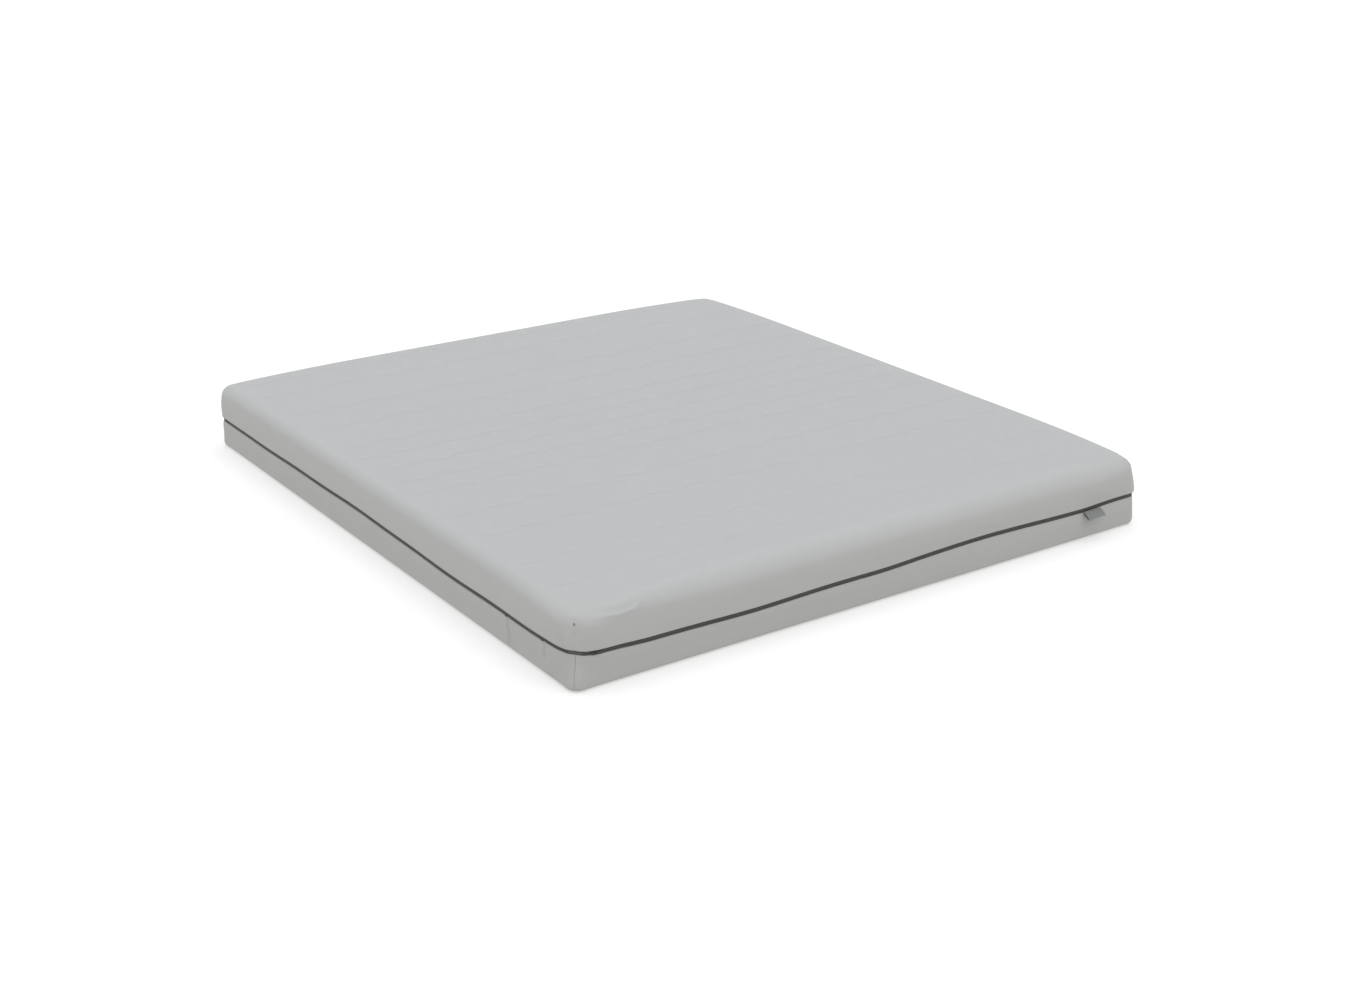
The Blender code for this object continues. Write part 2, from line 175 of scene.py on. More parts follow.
def settle(points):
    # The top corners sink by the square of how near they are to a corner, and draw in with height.
    # The corner over the zip's ends sinks further, and the foot end's top edge is rounder
    x, y, z = points[..., 0], points[..., 1], points[..., 2]
    lift = np.clip((z - zipHeight) / (height - zipHeight), 0, 1)
    close, atNear = nearness(x, y, cover["cornerReach"]), (x < 0) & (y < 0)
    above = smoothStep((z - 0.012) / (zipHeight - 0.022))                   # 0 at the floor, 1 at the zip
    push = cover["cornerPush"] * (1 - above) * (1.5 - 0.5 * atNear)
    pull = close ** 2 * (cover["nearPull"] * above * atNear - push)
    crooked = 1 + cover["rightMore"] * np.sign(x) + cover["footMore"] * np.sign(x) * (1 - np.sign(y)) / 2
    pull = pull + close * cover["topPull"] * crooked * smoothStep(lift) * ~atNear
    slack = nearness(x, y, cover["nearReach"]) * (atNear + cover["slackRight"] * (x > 0) * (y < 0))
    droop = cover["droop"] * nearness(x, y, cover["droopReach"]) ** 2
    sink = (droop + cover["nearDroop"] * slack ** 1.5) * lift
    least = cover["footRoundLeast"]
    share = least + (1 - least) * smoothStep((x + 0.78) / 0.30)             # growing from the left end
    share = cover["footRound"] * share * smoothStep((0.90 - x) / 0.16)
    fromFoot, down = y + halfLength, height - z
    atFoot = (fromFoot < 0.2) & (z > hemTop)
    back = share * rounder(fromFoot, cover["topEdge"], 3.0) * atFoot * smoothStep(1.6 - down / 0.06)
    deeper = share * rounder(down, cover["topEdge"], 2.3) * atFoot * smoothStep(1.6 - fromFoot / 0.06)
    return np.stack([x - np.sign(x) * pull, y - np.sign(y) * pull + back, z - sink - deeper], -1)


def placed(stations, inset, level):
    # the point of each station at an inset and a height, both arrays over stations and profile
    inset, level = np.broadcast_arrays(inset, level)
    reach = (cover["cornerRadius"] - inset)[..., None]
    flat = stations["core"][:, None] + stations["normal"][:, None] * reach
    return np.concatenate([flat, level[..., None]], -1)


def cornerTurn(stations):
    # distance along the outline from the middle of the nearest corner
    turn = np.arctan2(np.abs(stations["normal"][:, 1]), np.abs(stations["normal"][:, 0])) - np.pi / 4
    return turn * cover["cornerRadius"]


zipWander = {
    "footLow": 0.0048,       # the foot end's zip lies this much lower between its ends
    "footBells": ((-0.0050, -0.40, 0.16), (0.0088, 0.33, 0.24), (-0.0020, 0.0, 0.09),
                  (0.0011, 0.84, 0.05)),             # height, middle, width; the last is for the slider
    "leftArch": 0.0062,
    "leftBells": ((-0.0055, -0.36, 0.24), (0.0038, -0.92, 0.07)),
    "leftWaves": ((0.0008, 17, 0.0),),               # height, turns of angle per metre, start
    "rightWaves": ((0.0040, 3.1, 0.6), (0.0012, 11, 0.0)),
    "headWaves": ((0.0035, 3.7, 2.0), (0.0010, 13, 0.0)),
    "endsRise": 0.0032,      # raised where the zip's ends meet
    "endsReach": 0.045,
}


def bells(value, table):
    return sum(size * bump(value, middle, width) for size, middle, width in table)


def waves(value, table):
    return sum(size * np.sin(value * rate + start) for size, rate, start in table)


def zipWave(stations):
    # how far the zip wanders up or down: bells and sines along each side, and a rise at its ends
    x, y = stations["core"].T
    toFoot, toRight = -stations["normal"][:, 1], stations["normal"][:, 0]
    fade = smoothStep((halfLength - 0.09 - np.abs(y)) / 0.25)
    foot = bells(x, zipWander["footBells"]) - zipWander["footLow"] * smoothStep((0.80 - np.abs(x)) / 0.12)
    arch = zipWander["leftArch"] * np.cos(np.clip((y + 0.08) / 1.75, -0.5, 0.5) * np.pi) ** 2
    left = arch * smoothStep((halfLength - 0.05 - np.abs(y)) / 0.2) + fade * waves(y, zipWander["leftWaves"])
    left = left + bells(y, zipWander["leftBells"])
    right = fade * waves(y, zipWander["rightWaves"])
    head = smoothStep((0.80 - np.abs(x)) / 0.25) * waves(x, zipWander["headWaves"])
    ends = zipWander["endsRise"] * bump(np.hypot(x + coreX, y + coreY), 0, zipWander["endsReach"])
    wave = np.clip(toFoot, 0, 1) * foot + np.clip(-toRight, 0, 1) * left
    return wave + np.clip(toRight, 0, 1) * right + np.clip(-toFoot, 0, 1) * head + ends


def gridFaces(rows, columns, start=0):
    # quads of a grid whose columns run one way and rows the other, anticlockwise
    first = start + (np.arange(rows - 1)[:, None] * columns + np.arange(columns - 1)).ravel()
    return np.stack([first, first + 1, first + columns + 1, first + columns], 1)


def wrapFaces(rings, count, start=0):
    # quads between rings of points, each ring a closed loop
    ring = start + np.arange(rings - 1)[:, None] * count
    here, following = np.arange(count), (np.arange(count) + 1) % count
    quads = [ring + here, ring + count + here, ring + count + following, ring + following]
    return np.stack([quad.ravel() for quad in quads], 1)


def linked(name, data):
    # a new object in the scene
    made = bpy.data.objects.new(name, data)
    bpy.context.scene.collection.objects.link(made)
    return made


def addPiece(name, points, faces, finish, uv=None, smooth=True):
    # one mesh object from whole arrays: faces is a list of arrays of three or four corners
    points = np.asarray(points, float).reshape(-1, 3)
    volume = sum(
        np.einsum("ij,ij->", points[part[:, 0]], np.cross(points[part[:, k]], points[part[:, k + 1]]))
        for part in faces for k in range(1, part.shape[1] - 1)
    )
    if volume < 0:                                       # inside out, so every face is turned
        faces = [part[:, ::-1] for part in faces]
        uv = uv and [part[:, ::-1] for part in uv]
    corners = np.concatenate([part.ravel() for part in faces])
    sizes = np.concatenate([np.full(len(part), part.shape[1]) for part in faces])
    mesh = bpy.data.meshes.new(name)
    mesh.vertices.add(len(points))
    mesh.vertices.foreach_set("co", points.astype(np.float32).ravel())
    mesh.loops.add(len(corners))
    mesh.loops.foreach_set("vertex_index", corners.astype(np.int32))
    mesh.polygons.add(len(sizes))
    mesh.polygons.foreach_set("loop_start", (np.cumsum(sizes) - sizes).astype(np.int32))
    if uv is not None:
        flat = np.concatenate([part.reshape(-1, 2) for part in uv]).astype(np.float32)
        mesh.uv_layers.new(name="cloth").data.foreach_set("uv", flat.ravel())
    mesh.update(calc_edges=True)
    mesh.validate()
    if smooth:
        mesh.shade_smooth()
    mesh.materials.append(finish)
    return linked(name, mesh)


def hold(piece, body, slot, *nodes):
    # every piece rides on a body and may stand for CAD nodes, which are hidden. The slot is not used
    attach(piece, body)
    if nodes:
        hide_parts(*nodes)
    return piece


def lengths(line):
    # distance along a line of points, from 0
    return np.concatenate([[0], np.cumsum(np.linalg.norm(np.diff(line, axis=0), axis=1))])


def inward(line, thickness):
    # a line moved to its right by a thickness, along the average of the two runs at each point
    run = np.diff(line, axis=0)
    run = run / np.linalg.norm(run, axis=1, keepdims=True)
    before, after = np.vstack([run[:1], run]), np.vstack([run, run[-1:]])
    left = np.stack([-before[:, 1] - after[:, 1], before[:, 0] + after[:, 0]], 1)
    left = left / np.linalg.norm(left, axis=1, keepdims=True)
    share = np.sum(left * np.stack([-after[:, 1], after[:, 0]], 1), 1, keepdims=True)
    return line + left * thickness / share


def stripPiece(name, points, finish, along=None, profile=None):
    # a closed loop of profile points carried along stations, with both ends closed
    count, around = points.shape[:2]
    half = around // 2
    here, following = np.arange(around), (np.arange(around) + 1) % around
    row = np.arange(count - 1)[:, None] * around
    quads = (row + here, row + following, row + around + following, row + around + here)
    walls = np.stack([quad.ravel() for quad in quads], 1)
    near = np.arange(half - 1)
    cap = np.stack([near + 1, near, around - 1 - near, around - 2 - near], 1)
    last = (count - 1) * around
    faces = [walls, cap, last + cap[:, ::-1]]
    uv = None
    if along is not None:
        u = np.broadcast_to(along[:, None], (count, around)).ravel()
        v = np.broadcast_to(profile, (count, around)).ravel()
        table = np.stack([u, v], 1)
        uv = [table[part] for part in faces]
        wrap = (walls[:, 0] % around) == around - 1       # the loop closes here
        uv[0][wrap, 1, 1] = uv[0][wrap, 0, 1] + 0.001
        uv[0][wrap, 2, 1] = uv[0][wrap, 3, 1] + 0.001
    return addPiece(name, points, faces, finish, uv)


def repeated(shape, faces, origins, xAxis, yAxis, zAxis):
    # one small closed shape set at many places: its three coordinates times the axes of each place
    points = origins[:, None] + shape[None, :, 0:1] * xAxis[:, None] + shape[None, :, 1:2] * yAxis[:, None]
    points = points + shape[None, :, 2:3] * zAxis[:, None]
    offset = (np.arange(len(origins)) * len(shape))[:, None, None]
    return points.reshape(-1, 3), [(part[None] + offset).reshape(-1, part.shape[1]) for part in faces]


def threadShape(line, width, sides=4):
    # a short tube along a line in the plane of x and z, squared off at both ends
    run = np.gradient(line, axis=0)
    run = run / np.linalg.norm(run, axis=1, keepdims=True)
    across = np.stack([-run[:, 1], run[:, 0]], 1)
    turn = (np.arange(sides) + 0.5) * 2 * np.pi / sides
    radius = np.broadcast_to(width, len(line))[:, None] / 2
    up = radius * np.sin(turn)
    x = line[:, 0:1] + up * across[:, 0:1]
    z = line[:, 1:2] + up * across[:, 1:2]
    y = radius * np.cos(turn) + 0 * x
    shape = np.stack([x, y, z], -1).reshape(-1, 3)
    ends = np.arange(sides)
    last = (len(line) - 1) * sides
    return shape, [wrapFaces(len(line), sides)[:, ::-1], ends[None], (last + ends[::-1])[None]]


def shellPiece(name, stations, topGrid, rings, bottomGrid, finish, smooth=True):
    # a closed skin: a top grid, a wall of profile points round the stations, and a bottom grid.
    # Round the corners the wall meets one corner of the grid in triangles
    rows, columns = topGrid.shape[:2]
    count, deep = rings.shape[:2]
    wallStart, bottomStart = rows * columns, rows * columns + count * deep
    here, following = np.arange(count), (np.arange(count) + 1) % count
    level = np.arange(deep - 1)[:, None]
    first, second = wallStart + here * deep, wallStart + following * deep
    walls = np.stack([(q + level).ravel() for q in (first, first + 1, second + 1, second)], 1)
    edge = stations["grid"]
    upper = np.stack([edge[here], first, second, edge[following]], 1)
    below = bottomStart + edge
    lower = np.stack([first + deep - 1, below[here], below[following], second + deep - 1], 1)
    fan = edge[here] == edge[following]
    faces = [
        gridFaces(rows, columns), gridFaces(rows, columns, bottomStart)[:, ::-1], walls,
        upper[~fan], upper[fan, :3], lower[~fan], lower[fan][:, [0, 1, 3]],
    ]
    # the cloth map: plan metres on the grids, and metres along and down the wall
    along = np.append(stations["along"], stations["round"])
    down = lengths(rings[count // 2]) + 0.003
    plan = np.concatenate([topGrid[..., :2].reshape(-1, 2), bottomGrid[..., :2].reshape(-1, 2)])
    # round a corner each half keeps the scale of its own side, so the two meet in a mitre
    turn = np.abs(cornerTurn(stations))
    side = rings[np.argmax(stations["core"][:, 0] - np.abs(stations["core"][:, 1])), :, 0]
    narrow = np.clip((side.max() - side) / cover["cornerRadius"], 0, 1)[:, None]
    missing = np.pi / 4 * cover["cornerRadius"] - turn
    half = np.sign(turn[following] - turn)
    u = [along[here + end] + half * missing[(here + end) % count] * narrow for end in (0, 1)]
    v = np.broadcast_to(-down[:, None], u[0].shape)
    wallUv = np.stack([
        np.stack([u[end][shift:shift + deep - 1].ravel(), v[shift:shift + deep - 1].ravel()], 1)
        for end, shift in ((0, 0), (0, 1), (1, 1), (1, 0))
    ], 1)
    rim = [(0, 0), (0, -0.003), (1, -0.003), (1, 0)]
    rim = np.stack([np.stack([u[end][0], np.full(count, high)], 1) for end, high in rim], 1)
    foot = rim + [0, -down[-1]]
    size = rows * columns
    uv = [
        plan[:size][faces[0]], plan[size:][faces[1] - bottomStart], wallUv,
        rim[~fan], rim[fan, :3], foot[~fan], foot[fan][:, [0, 1, 3]],
    ]
    points = np.concatenate([topGrid.reshape(-1, 3), rings.reshape(-1, 3), bottomGrid.reshape(-1, 3)])
    return addPiece(name, points, faces, finish, uv, smooth)


# Node groups and materials
def addNode(tree, kind, settings=None, **values):
    # a node with its settings, and its sockets set to a value or linked from another socket
    node = tree.nodes.new("ShaderNode" + kind)
    for key, value in (settings or {}).items():
        setattr(node, key, value)
    for key, value in values.items():
        numbered = key[0] == "i" and key[1:].isdigit()
        socket = node.inputs[int(key[1:]) if numbered else key.replace("_", " ")]
        if isinstance(value, bpy.types.NodeSocket):
            tree.links.new(value, socket)
        else:
            socket.default_value = value
    return node.outputs


def maths(tree, operation, first, second=0.0, third=0.0):
    return addNode(tree, "Math", {"operation": operation}, i0=first, i1=second, i2=third)[0]


def times(tree, first, second):
    return maths(tree, "MULTIPLY", first, second)


def timesAdd(tree, first, second, third):
    return maths(tree, "MULTIPLY_ADD", first, second, third)


def absoluteSine(tree, value):
    # the absolute value of the sine of pi times a value: a row of half waves, one per unit
    return maths(tree, "ABSOLUTE", maths(tree, "SINE", times(tree, value, math.pi)))


def makeGroup(name, inputs, outputs, build):
    # a shader group with named sockets: inputs as name -> value, a colour or None for a vector. What
    # the build function returns feeds its outputs
    tree = bpy.data.node_groups.new(name, "ShaderNodeTree")
    for label, value in inputs.items():
        kind = "Vector" if value is None else "Color" if value == "colour" else "Float"
        socket = tree.interface.new_socket(label, in_out="INPUT", socket_type="NodeSocket" + kind)
        if kind == "Float":
            socket.default_value = value
    for label, kind in outputs.items():
        tree.interface.new_socket(label, in_out="OUTPUT", socket_type="NodeSocket" + kind)
    given, made = tree.nodes.new("NodeGroupInput"), tree.nodes.new("NodeGroupOutput")
    for label, socket in build(tree, given.outputs).items():
        tree.links.new(socket, made.inputs[label])
    return tree


def knit(tree, given):
    # double knit: upright ribs (wales) broken by rows of loops (courses), each loop a small dome
    wobble = addNode(tree, "TexNoise", Vector=given["Vector"], Scale=190.0, Detail=1.0)["Color"]
    drift = addNode(tree, "VectorMath", {"operation": "SCALE"}, i0=wobble, Scale=0.0007)[0]
    place = addNode(tree, "VectorMath", {"operation": "ADD"}, i0=given["Vector"], i1=drift)[0]
    split = addNode(tree, "SeparateXYZ", Vector=place)
    rib = absoluteSine(tree, maths(tree, "DIVIDE", split[0], given["Rib"]))
    v = maths(tree, "DIVIDE", split[1], given["Course"])
    course = absoluteSine(tree, maths(tree, "ADD", v, times(tree, rib, 0.5)))
    loop = times(tree, maths(tree, "POWER", rib, 0.7), timesAdd(tree, course, 0.55, 0.45))
    fuzz = addNode(tree, "TexNoise", Vector=given["Vector"], Scale=2600.0, Detail=2.0)["Fac"]
    return {"Height": timesAdd(tree, fuzz, 0.25, loop), "Shade": timesAdd(tree, loop, 0.16, 0.88)}


def weave(tree, given):
    # plain or twill weave: threads over and under, as the product of two waves shifted row by row
    split = addNode(tree, "SeparateXYZ", Vector=given["Vector"])
    u, v = (maths(tree, "DIVIDE", split[axis], given["Thread"]) for axis in (0, 1))
    u = maths(tree, "ADD", u, times(tree, maths(tree, "FLOOR", v), given["Slant"]))
    over, under = (maths(tree, "SINE", times(tree, value, math.pi)) for value in (u, v))
    cross = maths(tree, "ABSOLUTE", times(tree, over, under))
    fray = addNode(tree, "TexNoise", Vector=given["Vector"], Scale=3000.0, Detail=2.0)["Fac"]
    return {"Height": timesAdd(tree, fray, 0.3, cross), "Shade": timesAdd(tree, cross, 0.25, 0.80)}


def tone(tree, given):
    # a colour made a little lighter and darker by broad clouds, fine clouds and a pattern's shade
    closer, factors = times(tree, given["Size"], 45.0), []
    for share, scale, detail in (("Broad", given["Size"], 3.0), ("Fine", closer, 4.0)):
        cloud = addNode(tree, "TexNoise", Vector=given["Vector"], Scale=scale, Detail=detail)["Fac"]
        strength = times(tree, given[share], 2.0)
        factors.append(timesAdd(tree, maths(tree, "SUBTRACT", cloud, 0.5), strength, 1.0))
    level = times(tree, times(tree, *factors), given["Shade"])
    bright = addNode(tree, "VectorMath", {"operation": "SCALE"}, i0=given["Colour"], Scale=level)[0]
    return {"Colour": bright, "Roughness": timesAdd(tree, cloud, -0.12, 0.98)}


def pores(tree, given):
    # open cells: distance to the nearest of scattered points, at two sizes, with the deep ones darker
    scales = given["Scale"], times(tree, given["Scale"], 0.37)
    small, large = (
        addNode(tree, "TexVoronoi", Vector=given["Vector"], Scale=scale)["Distance"] for scale in scales
    )
    pit = maths(tree, "SMOOTH_MIN", times(tree, small, 1.2), times(tree, large, 1.7), 0.15)
    return {"Height": pit, "Shade": timesAdd(tree, pit, 0.35, 0.78)}


def rubbed(tree, given):
    # coating rubbed thin: a mask from clouds and scratches, highest where both are
    cloud = addNode(tree, "TexNoise", Vector=given["Vector"], Scale=given["Scale"], Detail=5.0)["Fac"]
    closer = times(tree, given["Scale"], 4.0)
    scratch = addNode(tree, "TexNoise", Vector=given["Vector"], Scale=closer, Detail=2.0, Distortion=1.5)["Fac"]
    both = times(tree, cloud, scratch)
    return {"Mask": addNode(tree, "MapRange", Value=both, From_Min=0.30, From_Max=0.42)[0], "Height": both}


heightAndShade = {"Height": "Float", "Shade": "Float"}
knitLoops = makeGroup("knitLoops", {"Vector": None, "Rib": 0.0016, "Course": 0.0012}, heightAndShade, knit)
wovenThreads = makeGroup(
    "wovenThreads", {"Vector": None, "Thread": 0.0006, "Slant": 0.0}, heightAndShade, weave,
)
clothTone = makeGroup(
    "clothTone", {"Vector": None, "Colour": "colour", "Broad": 0.04, "Fine": 0.03, "Size": 5.0, "Shade": 1.0},
    {"Colour": "Color", "Roughness": "Float"}, tone,
)
foamPores = makeGroup("foamPores", {"Vector": None, "Scale": 700.0}, heightAndShade, pores)
rubbedCoating = makeGroup(
    "rubbedCoating", {"Vector": None, "Scale": 400.0}, {"Mask": "Float", "Height": "Float"}, rubbed,
)


def newFinish(name, roughness=0.9, specular=0.3, sheen=0.0):
    finish = bpy.data.materials.new(name)
    finish.use_nodes = True
    shader = finish.node_tree.nodes["Principled BSDF"]
    shader.inputs["Roughness"].default_value = roughness
    shader.inputs["Specular IOR Level"].default_value = specular
    shader.inputs["Sheen Weight"].default_value = sheen
    shader.inputs["Sheen Roughness"].default_value = 0.4
    return finish, finish.node_tree, shader


def useGroup(tree, group, **values):
    return addNode(tree, "Group", {"node_tree": group}, **values)


def feed(tree, shader, **sockets):
    for key, socket in sockets.items():
        tree.links.new(socket, shader.inputs[key.replace("_", " ")])


def raised(tree, shader, relief, depth):
    # a bump of a depth in metres
    feed(tree, shader, Normal=addNode(tree, "Bump", Height=relief, Distance=depth, Strength=1.0)[0])


def toned(tree, solid, look, colour, pattern):
    return useGroup(tree, clothTone, Vector=solid, Colour=colour, Broad=look["broad"], Fine=look["fine"],
                    Size=look["size"], Shade=pattern["Shade"])


def clothFinish(name, look):
    # cloth on its own map: a knit or woven pattern, fine fuzz and uneven tone
    finish, tree, shader = newFinish(name, specular=look.get("specular", 0.25), sheen=look.get("sheen", 0.15))
    place = addNode(tree, "UVMap", {"uv_map": "cloth"})[0]
    solid = addNode(tree, "TexCoord")["Object"]
    if "rib" in look:
        pattern = useGroup(tree, knitLoops, Vector=place, Rib=look["rib"], Course=look["course"])
    else:
        slant = look.get("slant", 0.0)
        pattern = useGroup(tree, wovenThreads, Vector=place, Thread=look["thread"], Slant=slant)
    tint = (*look["colour"], 1)
    if "paintedBounceWallColour" in look:                             # painted light: the sides get a warmer tint than the top, standing in for the warm light the floor bounces onto them
        level = addNode(tree, "SeparateXYZ", Vector=solid)[2]
        share = addNode(tree, "MapRange", Value=level, From_Min=height - 0.04, From_Max=height - 0.008)[0]
        tint = addNode(tree, "MixRGB", Fac=share, Color1=(*look["paintedBounceWallColour"], 1), Color2=tint)[0]
    made = toned(tree, solid, look, tint, pattern)
    feed(tree, shader, Base_Color=made["Colour"], Roughness=made["Roughness"])
    raised(tree, shader, pattern["Height"], look["depth"])
    return finish


def solidFinish(name, look):
    # felt, foam or moulded pieces: pores or fibres in space, with uneven tone
    plain = look.get("rough", 0.9), look.get("specular", 0.2), look.get("sheen", 0.0)
    finish, tree, shader = newFinish(name, *plain)
    solid = addNode(tree, "TexCoord")["Object"]
    pattern = useGroup(tree, foamPores, Vector=solid, Scale=look["pores"])
    made = toned(tree, solid, look, (*look["colour"], 1), pattern)
    feed(tree, shader, Base_Color=made["Colour"])
    if "rough" not in look:
        feed(tree, shader, Roughness=made["Roughness"])
    raised(tree, shader, pattern["Height"], look["depth"])
    return finish


def coatedFinish(name, look):
    # dark coated metal, paler and shinier where the coating is rubbed
    finish, tree, shader = newFinish(name, specular=0.5)
    rub = useGroup(tree, rubbedCoating, Vector=addNode(tree, "TexCoord")["Object"], Scale=look["scale"])
    mask = rub["Mask"]
    colour = addNode(tree, "MixRGB", Fac=mask, Color1=(*look["colour"], 1), Color2=(*look["bare"], 1))[0]
    feed(tree, shader, Base_Color=colour, Roughness=timesAdd(tree, mask, -0.12, look["rough"]),
         Metallic=timesAdd(tree, mask, 0.5, 0.2))
    raised(tree, shader, rub["Height"], look["depth"])
    return finish


# Lengths are in metres: rib, course and thread across one loop or thread, depth of the relief. Broad
# and fine are shares of the colour, size and pores are cells per metre
thread = {"pores": 2500.0, "depth": 0.0001, "broad": 0.02, "fine": 0.08, "size": 30.0}
foamTone = {"broad": 0.03, "size": 5.0}
clothLooks = {
    # in the quilted knit, the wall colour is painted light: a warmer tint on the sides for the floor's bounce
    "quiltedKnit": {"colour": (0.545, 0.557, 0.564), "paintedBounceWallColour": (0.548, 0.555, 0.550), "rib": 0.0017,
                    "course": 0.0013, "depth": 0.00035, "broad": 0.012, "fine": 0.020, "size": 4.0},
    "borderKnit": {"colour": (0.522, 0.527, 0.518), "rib": 0.0015, "course": 0.0012, "depth": 0.00030,
                   "broad": 0.020, "fine": 0.025, "size": 6.0},
    "backingFleece": {"colour": (0.75, 0.75, 0.75), "thread": 0.0011, "slant": 0.5, "depth": 0.00015,
                      "broad": 0.02, "fine": 0.06, "size": 10.0},
    "gripCloth": {"colour": (0.30, 0.31, 0.32), "thread": 0.0009, "depth": 0.0003,
                  "broad": 0.03, "fine": 0.04, "size": 6.0},
    "zipTape": {"colour": (0.135, 0.133, 0.120), "thread": 0.0006, "slant": 0.5, "depth": 0.0002,
                "broad": 0.04, "fine": 0.08, "size": 20.0},
    "labelSatin": {"colour": (0.27, 0.28, 0.28), "thread": 0.0004, "slant": 0.25, "depth": 0.0001,
                   "broad": 0.04, "fine": 0.03, "size": 25.0, "sheen": 0.3, "specular": 0.5},
}
solidLooks = {
    # the quilting thread is a touch lighter than the cloth: partly its own colour, partly a painted highlight
    # along the stitch lines
    "quiltThreadAndHighlight": {"colour": (0.58, 0.59, 0.59), **thread},
    "tackThread": {"colour": (0.20, 0.20, 0.19), **thread},
    "fibreWadding": {"colour": (0.84, 0.84, 0.82), "pores": 380.0, "depth": 0.0012,
                     "broad": 0.03, "fine": 0.05, "size": 12.0, "sheen": 0.2},
    "gripDots": {"colour": (0.20, 0.205, 0.21), "pores": 900.0, "depth": 0.00005,
                 "broad": 0.02, "fine": 0.05, "size": 20.0, "rough": 0.55, "specular": 0.4},
    "zipCoil": {"colour": (0.145, 0.142, 0.128), "pores": 1800.0, "depth": 0.00003,
                "broad": 0.05, "fine": 0.05, "size": 30.0, "rough": 0.42, "specular": 0.5},
    "supportFoam": {"colour": (0.86, 0.85, 0.80), "pores": 620.0, "depth": 0.0009, "fine": 0.03, **foamTone},
    "comfortFoam": {"colour": (0.55, 0.68, 0.74), "pores": 750.0, "depth": 0.0008, "fine": 0.03, **foamTone},
    "memoryFoam": {"colour": (0.88, 0.83, 0.66), "pores": 1100.0, "depth": 0.0005, "fine": 0.02, **foamTone},
}
coatedLooks = {
    "sliderCoat": {"colour": (0.060, 0.062, 0.058), "bare": (0.14, 0.14, 0.135), "rough": 0.45,
                   "scale": 500.0, "depth": 0.00004},
}
finishes = {
    name: make(name, look)
    for make, looks in ((clothFinish, clothLooks), (solidFinish, solidLooks), (coatedFinish, coatedLooks))
    for name, look in looks.items()
}
print("finishes made:", len(finishes))


# Top cover
quilt = {
    "middle": 0.035,         # place of the middle stitch line along Y
    "lines": {0: 1.0, 0.105: 1.0, 0.210: 1.0, 0.385: 1.0, 0.540: 0.9, 0.740: 0.7, 0.880: 0.35},
    "footWeight": 0.45,      # the lines at the foot end are pulled in less
    "waveLength": 0.125,
    "waveHeight": 0.0085,
    "depth": 0.0055,         # of a stitch line below the crown between two lines
    "uneven": 0.55,          # how much less it is pulled in once in each wave
    "falloff": 0.0090,
    "edgeFade": 0.045,       # the lines run out over this length at the edges
    "stitchPitch": 0.0042,
    "stitchLength": 0.0036,
    "thread": 0.0007,
}
# the places and weights of the stitch lines, the same both ways from the middle one
lineTable = sorted(
    (quilt["middle"] + side * place, weight * (quilt["footWeight"] if side * place < -0.6 else 1))
    for place, weight in quilt["lines"].items() for side in ((1, -1) if place else (1,))
)
puff = {"x": None, "y": None, "lift": None}      # filled by the cloth simulation
quiltCloth = {
    "step": 0.0095, "frames": 22, "pressure": 3.0, "growth": -0.018, "bending": 0.08, "stiffness": 12.0,
    "shear": 4.0, "mass": 0.15,
    "share": 0.50, "most": 0.0024,       # of the simulated relief that is kept, and its cap
}


def simulateQuilt():
    # the top cloth swells between its stitch lines: a flat grid, pinned along the lines and the rim
    # and cut a little large, is blown up by a cloth simulation. What is kept is how each place
    # differs from its own row's average, which is the puckering along the lines
    xs = spaced(-coreX, coreX, quiltCloth["step"])
    ys = quiltRows(quiltCloth["step"], (0,))
    x, y = np.meshgrid(xs, ys)
    grain = 0.0004 * ripple(x, y, 0.035, 11)
    trial = np.stack([x, y, grain], -1)
    sheet = addPiece("quiltTrial", trial, [gridFaces(len(ys), len(xs))], finishes["quiltedKnit"])
    onLine = np.isin(ys, np.round([place for place, _ in lineTable], 6))[:, None]
    fixed = onLine | (np.abs(y) >= coreY) | (np.abs(x) >= coreX)
    sheet.vertex_groups.new(name="pins").add(np.flatnonzero(fixed.ravel()).tolist(), 1.0, "REPLACE")
    cloth = sheet.modifiers.new("swell", "CLOTH")
    rules = cloth.settings
    rules.vertex_group_mass = "pins"
    rules.quality, rules.mass, rules.time_scale = 5, quiltCloth["mass"], 1.0
    rules.tension_stiffness = rules.compression_stiffness = quiltCloth["stiffness"]
    rules.shear_stiffness, rules.bending_stiffness = quiltCloth["shear"], quiltCloth["bending"]
    rules.use_pressure, rules.uniform_pressure_force = True, quiltCloth["pressure"]
    rules.shrink_min = quiltCloth["growth"]
    rules.effector_weights.gravity = 0.0
    cloth.collision_settings.use_collision = False
    cloth.point_cache.frame_start, cloth.point_cache.frame_end = 1, quiltCloth["frames"]
    scene = bpy.context.scene
    for step in range(1, quiltCloth["frames"] + 1):
        scene.frame_set(step)
    shaped = sheet.evaluated_get(bpy.context.evaluated_depsgraph_get()).to_mesh()
    places = np.zeros(len(shaped.vertices) * 3, np.float32)
    shaped.vertices.foreach_get("co", places)
    high = places.reshape(len(ys), len(xs), 3)[..., 2].astype(float)
    bpy.data.objects.remove(sheet)
    scene.frame_set(1)
    pucker = (high - high.mean(axis=1, keepdims=True)) * quiltCloth["share"]
    pucker = quiltCloth["most"] * np.tanh(pucker / quiltCloth["most"])
    measures = [round(float(value) * 1000, 2) for value in (high.max(), pucker.std())]
    print("quilt simulated: crown and pucker in mm", measures)
    return {"x": xs, "y": ys, "lift": -pucker}


def edgeShare(x, y):
    # 0 on the core's edge, 1 further in
    fade = quilt["edgeFade"]
    return smoothStep((coreX - np.abs(x)) / fade) * smoothStep((coreY - np.abs(y)) / fade)


def lineWave(x, y):
    # the stitch lines' sideways wave: a sine along X
    return quilt["waveHeight"] * np.sin(2 * np.pi * x / quilt["waveLength"]) * edgeShare(x, y)


